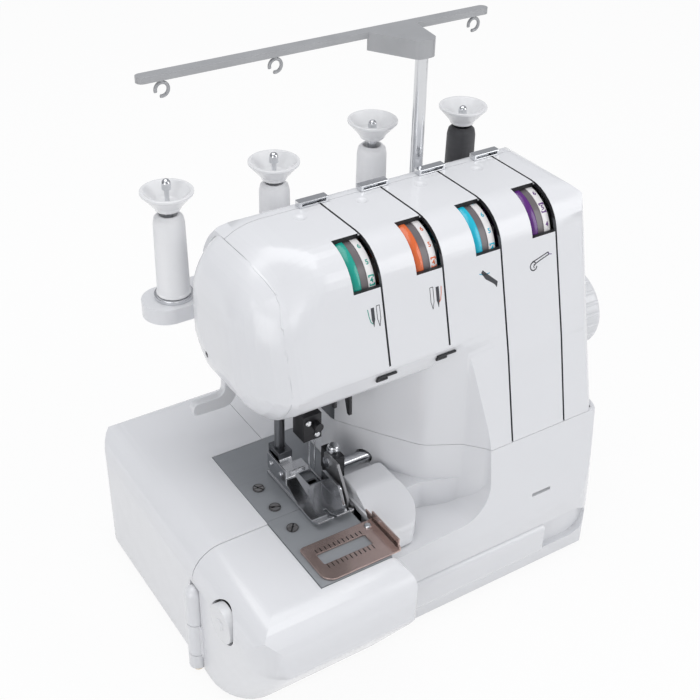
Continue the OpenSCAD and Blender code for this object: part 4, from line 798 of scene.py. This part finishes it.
screw_head.surface(
    Base_Color=head_tone, Metallic=0.8 - (cut + rim).clamped() * 0.6, Roughness=worn_head * 0.15 + 0.25,
    Normal=screw_head.bump(cut * -1.0 + worn_head * 0.1, 0.5, 0.0003),
)
eased_copy("plate_screws", "_slotted", screw_head.material, width=0.0002)

# ---- Knives, loopers and feed dogs: hardened tool steel, ground bright where it works.
# The grinding lines run upright.
tool_steel = satin("tool_steel", (0.34, 0.34, 0.35), 0.34, (1.0, 1.0, 0.08))
for node, width in (
    ("lower_knife", 0.0001), ("upper_knife", 0.0001), ("upper_looper", 0.0003), ("lower_looper", 0.0003),
    ("feed_dogs", 0.0001), ("needle_rocker", 0.0003),
):
    eased_copy(node, "_ground", tool_steel, width=width)

# ---- Seam guide: a pressed steel slide on the cloth plate, plated, with an engraved scale.
# Short filled lines stand evenly along both rails, beside a slot through which the plate shows.
GUIDE_RAILS = ((-12.8, -9.0), (2.0, 5.6))
SCALE_FROM, SCALE_TO = -82.0, -48.0
scale = Finish("seam_guide_plating")
scale_x, scale_y = scale.mm("X"), scale.mm("Y")
smudge = scale.noise(60.0, detail=3.0)
tick = 1.0 - ((scale_x * 0.3).math("FRACT") - 0.5).math("ABSOLUTE").above(0.12, 0.05)
rail_front, rail_back = (
    scale_y.above(low, 0.1) * (1.0 - scale_y.above(high, 0.1)) for low, high in GUIDE_RAILS
)
span = scale_x.above(SCALE_FROM, 0.2) * (1.0 - scale_x.above(SCALE_TO, 0.2))
engraved = (rail_front + rail_back).clamped() * tick * span
warm = scale.blend(smudge, (0.68, 0.54, 0.50), (0.42, 0.31, 0.28))
scale.surface(
    Base_Color=scale.blend(engraved, warm, (0.008, 0.006, 0.006)), Metallic=0.8 - engraved * 0.8,
    Roughness=smudge * 0.1 + 0.16,
    Normal=scale.bump(engraved * -1.0 + smudge * 0.2, 0.25, 0.0001),
)
eased_copy("seam_guide", "_plated", scale.material, width=0.0002)


def block_shape(low, high, width):
    """A plain block between two places in millimetres, its edges rounded."""
    shape = bmesh.new()
    bmesh.ops.create_cube(shape, size=1.0)
    low, high = Vector(low), Vector(high)
    bmesh.ops.scale(shape, vec=(high - low) / 1000.0, verts=shape.verts)
    bmesh.ops.translate(shape, vec=at(*((low + high) / 2)), verts=shape.verts)
    bmesh.ops.bevel(
        shape, geom=shape.edges[:], offset=width, offset_type="OFFSET", segments=3, profile=0.5,
        affect="EDGES", clamp_overlap=True, material=-1,
    )
    return shape


def round_head(place, towards, radius, height):
    """A turned head or stud standing on a place in millimetres, with a rounded crown."""
    shape = bmesh.new()
    bmesh.ops.create_cone(
        shape, cap_ends=True, cap_tris=False, segments=40, radius1=radius / 1000.0, radius2=radius / 1000.0,
        depth=height / 1000.0,
    )
    crown = [edge for edge in shape.edges if all(vertex.co.z > 0.0 for vertex in edge.verts)]
    bmesh.ops.bevel(
        shape, geom=crown, offset=radius / 2500.0, offset_type="OFFSET", segments=4, profile=0.5,
        affect="EDGES", clamp_overlap=True, material=-1,
    )
    turn = Vector(towards).to_track_quat("Z", "Y").to_matrix().to_4x4()
    lift = Matrix.Translation(at(*place) + Vector(towards).normalized() * height / 2000.0)
    bmesh.ops.transform(shape, matrix=lift @ turn, verts=shape.verts)
    return shape


def small_steel(name, shape, finish, beside):
    """A small steel piece that moves with a node's body."""
    piece = link_piece(name, shape, finish, frame["nodes"][beside]["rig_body"])
    ease(piece, 0.00005, 1, 80.0)


fence = block_shape((-36.2, -21.0, 99.9), (-35.0, 10.0, 108.5), 0.0004)
small_steel("seam_guide_fence", fence, scale.material, "seam_guide")
small_steel("seam_guide_boss", round_head((-41.0, 6.6, 100.3), (0, 0, 1), 2.6, 1.5), chrome, "seam_guide")


# ---- Dark metal: needle clamp, thread take-up, knife arm and hooks, blued or painted steel.
# Satin black with worn, slightly brighter patches.
def dark_coat(name, colour, roughness, metallic, grain=700.0, depth=0.00008):
    finish = Finish(name)
    worn = finish.noise(70.0, detail=4.0)
    fine = finish.noise(grain, detail=3.0)
    tone = finish.blend(worn * 0.5, colour, tuple(min(1.0, part * 1.5 + 0.01) for part in colour))
    return finish.surface(
        Base_Color=tone, Metallic=metallic, Roughness=worn * 0.12 + (roughness - 0.06),
        Normal=finish.bump(fine, 0.2, depth),
    )


black_steel = dark_coat("black_steel", (0.03, 0.03, 0.033), 0.34, 0.6)
black_piece = {
    node: eased_copy(node, "_black", black_steel, width=width)
    for node, width in (
        ("needle_clamp", 0.0004), ("take_up_lever", 0.0003), ("knife_arm", 0.0004), ("hook_guides", 0.0002),
        ("driven_pulley", 0.0003), ("motor_body", 0.0008),
    )
}


def shaft_or_knob(centre, normal):
    return centre.z > 122.6 or (centre.x > -29.0 and centre.z < 109.5) or centre.x < -40.2


paint(black_piece["knife_arm"], chrome, shaft_or_knob)
for number, (x, z) in enumerate(((-53.0, 152.5), (-46.5, 141.5)), start=1):
    screw = round_head((x, 62.1, z), (0, -1, 0), 2.1, 2.2)
    small_steel("clamp_screw_%d" % number, screw, chrome, "needle_clamp")
small_steel("knife_knob_dome", round_head((-34.4, 60.0, 125.2), (0, 0, 1), 3.9, 3.0), chrome, "knife_arm")

# ---- Foot fittings: a plated side plate with two rivets, a thread guide and the foot's grey heel.
# They are clipped and riveted on, and lift with the foot.
for name, low, high, finish in (
    ("foot_side_plate", (-71.4, 60.0, 108.0), (-70.2, 84.0, 121.0), foot_chrome),
    ("foot_thread_guide", (-69.0, 57.5, 118.0), (-57.5, 58.7, 121.5), foot_chrome),
    ("foot_heel_block", (-69.0, 72.0, 119.0), (-59.0, 86.5, 126.0), presser_grey),
):
    small_steel(name, block_shape(low, high, 0.0003), finish, "presser_foot")
for number, y in enumerate((66.0, 79.0), start=1):
    rivet = round_head((-71.4, y, 114.5), (-1, 0, 0), 1.7, 1.1)
    small_steel("foot_rivet_%d" % number, rivet, chrome, "presser_foot")

# ---- Cover screws: dark zinc-plated machine screws through the covers into the frame.
# Their heads lie flush or in shallow wells.
screw_steel = dark_coat("screw_steel", (0.09, 0.09, 0.095), 0.30, 0.9)
eased_copy("cover_screws", "_dark", screw_steel, width=0.0002)

# ---- Frame and base: die-cast aluminium chassis on a pressed grey pan with four rubber feet.
# Brass bushes carry the shafts, a brass pin carries the looper cover.
cast_metal = dark_coat("cast_metal", (0.36, 0.365, 0.37), 0.52, 0.7, grain=380.0, depth=0.0003)
eased_copy("inner_frame", "_cast", cast_metal, width=0.0006)
pan_plastic = moulded_plastic(
    "pan_plastic", (0.30, 0.305, 0.31), roughness=0.5, wave=0.1, grain=0.4, gloss=0.0
)
eased_copy("base_pan", "_moulded", pan_plastic, width=0.0006)
rubber = dark_coat("rubber", (0.018, 0.018, 0.018), 0.72, 0.0, grain=1500.0, depth=0.0002)
eased_copy("rubber_feet", "_moulded", rubber, width=0.0008)
eased_copy("drive_belt", "_rubber", rubber, width=0.0002)
brass = plated("brass_turned", (0.70, 0.50, 0.20), 0.28)
for node in ("shaft_bushes", "hinge_pin"):
    eased_copy(node, "_brass", brass, width=0.0003)

# ---- Hand parts: handwheel, presser lifter and stitch-length knob, all moulded in the covers' white.
hand_white = moulded_plastic("hand_white", (0.79, 0.795, 0.81), roughness=0.30, wave=0.2)
eased_copy("handwheel", "_grip", hand_white, width=0.0008)
eased_copy("lifter_lever", "_grip", hand_white, width=0.0012, segments=3)
eased_copy("length_dial", "_disc", hand_white, width=0.0005)

# ---- Mains inlet and switch: black nylon set into the right side under the handwheel.
black_nylon = moulded_plastic(
    "black_nylon", (0.022, 0.022, 0.024), roughness=0.42, wave=0.1, grain=0.5, gloss=0.0
)
for node in ("power_inlet", "power_switch"):
    eased_copy(node, "_nylon", black_nylon, width=0.0005)

# ---- Spool stand: a white moulded tray behind the machine, four plated pins, four white cone caps.
eased_copy("spool_tray", "_skin", body_white, width=0.0012, segments=3)
cap_white = moulded_plastic("cap_white", (0.84, 0.842, 0.85), roughness=0.26, wave=0.15)
eased_copy("spool_caps", "_skin", cap_white, width=0.0003)

# ---- Thread cops: spun polyester cross-wound on paper cones, three white and one charcoal.
# The turns lie about 0.7 mm apart and cross in a faint diamond pattern.
COP_Y, TURNS, CROSSING = 153.0, 9.0, 3.0


def wound_thread(name, colour, shade, centre_x):
    finish = Finish(name)
    x, y, z = finish.mm("X") - centre_x, finish.mm("Y") - COP_Y, finish.mm("Z")
    turn = y.math("ARCTAN2", x)
    rising = (z * TURNS + turn * CROSSING).math("SINE")
    falling = (z * TURNS - turn * CROSSING).math("SINE")
    wound = (rising.math("MAXIMUM", falling) + 1.0) * 0.5
    layer = finish.noise(90.0, detail=3.0, vector=finish.stretched(1.0, 1.0, 6.0))
    tone = finish.blend((1.0 - wound) * 0.55 + layer * 0.25, colour, shade)
    fuzz = finish.noise(3200.0, detail=2.0)
    height = finish.bump(wound, 0.3, 0.00018)
    return finish.surface(
        Base_Color=tone, Roughness=layer * 0.1 + 0.62, Normal=finish.bump(fuzz, 0.2, 0.0001, under=height),
        Sheen_Weight=0.15,
    )


WHITE_THREAD = ((0.95, 0.95, 0.955), (0.86, 0.86, 0.87))
CHARCOAL_THREAD = ((0.075, 0.075, 0.08), (0.03, 0.03, 0.033))
COPS = ((-100.0, WHITE_THREAD), (-24.0, WHITE_THREAD), (52.0, WHITE_THREAD), (128.0, CHARCOAL_THREAD))
for number, (centre_x, colours) in enumerate(COPS, start=1):
    thread = wound_thread("cop_thread_%d" % number, *colours, centre_x)
    eased_copy("thread_cop_%d" % number, "_wound", thread, width=0.0008, segments=3)

# ---- Guide bar: a pressed steel rail on the mast with four open wire eyelets, painted satin grey.
bar_grey = dark_coat("bar_grey", (0.36, 0.365, 0.375), 0.36, 0.25, grain=1200.0)
eased_copy("guide_bar", "_painted", bar_grey, width=0.0005)
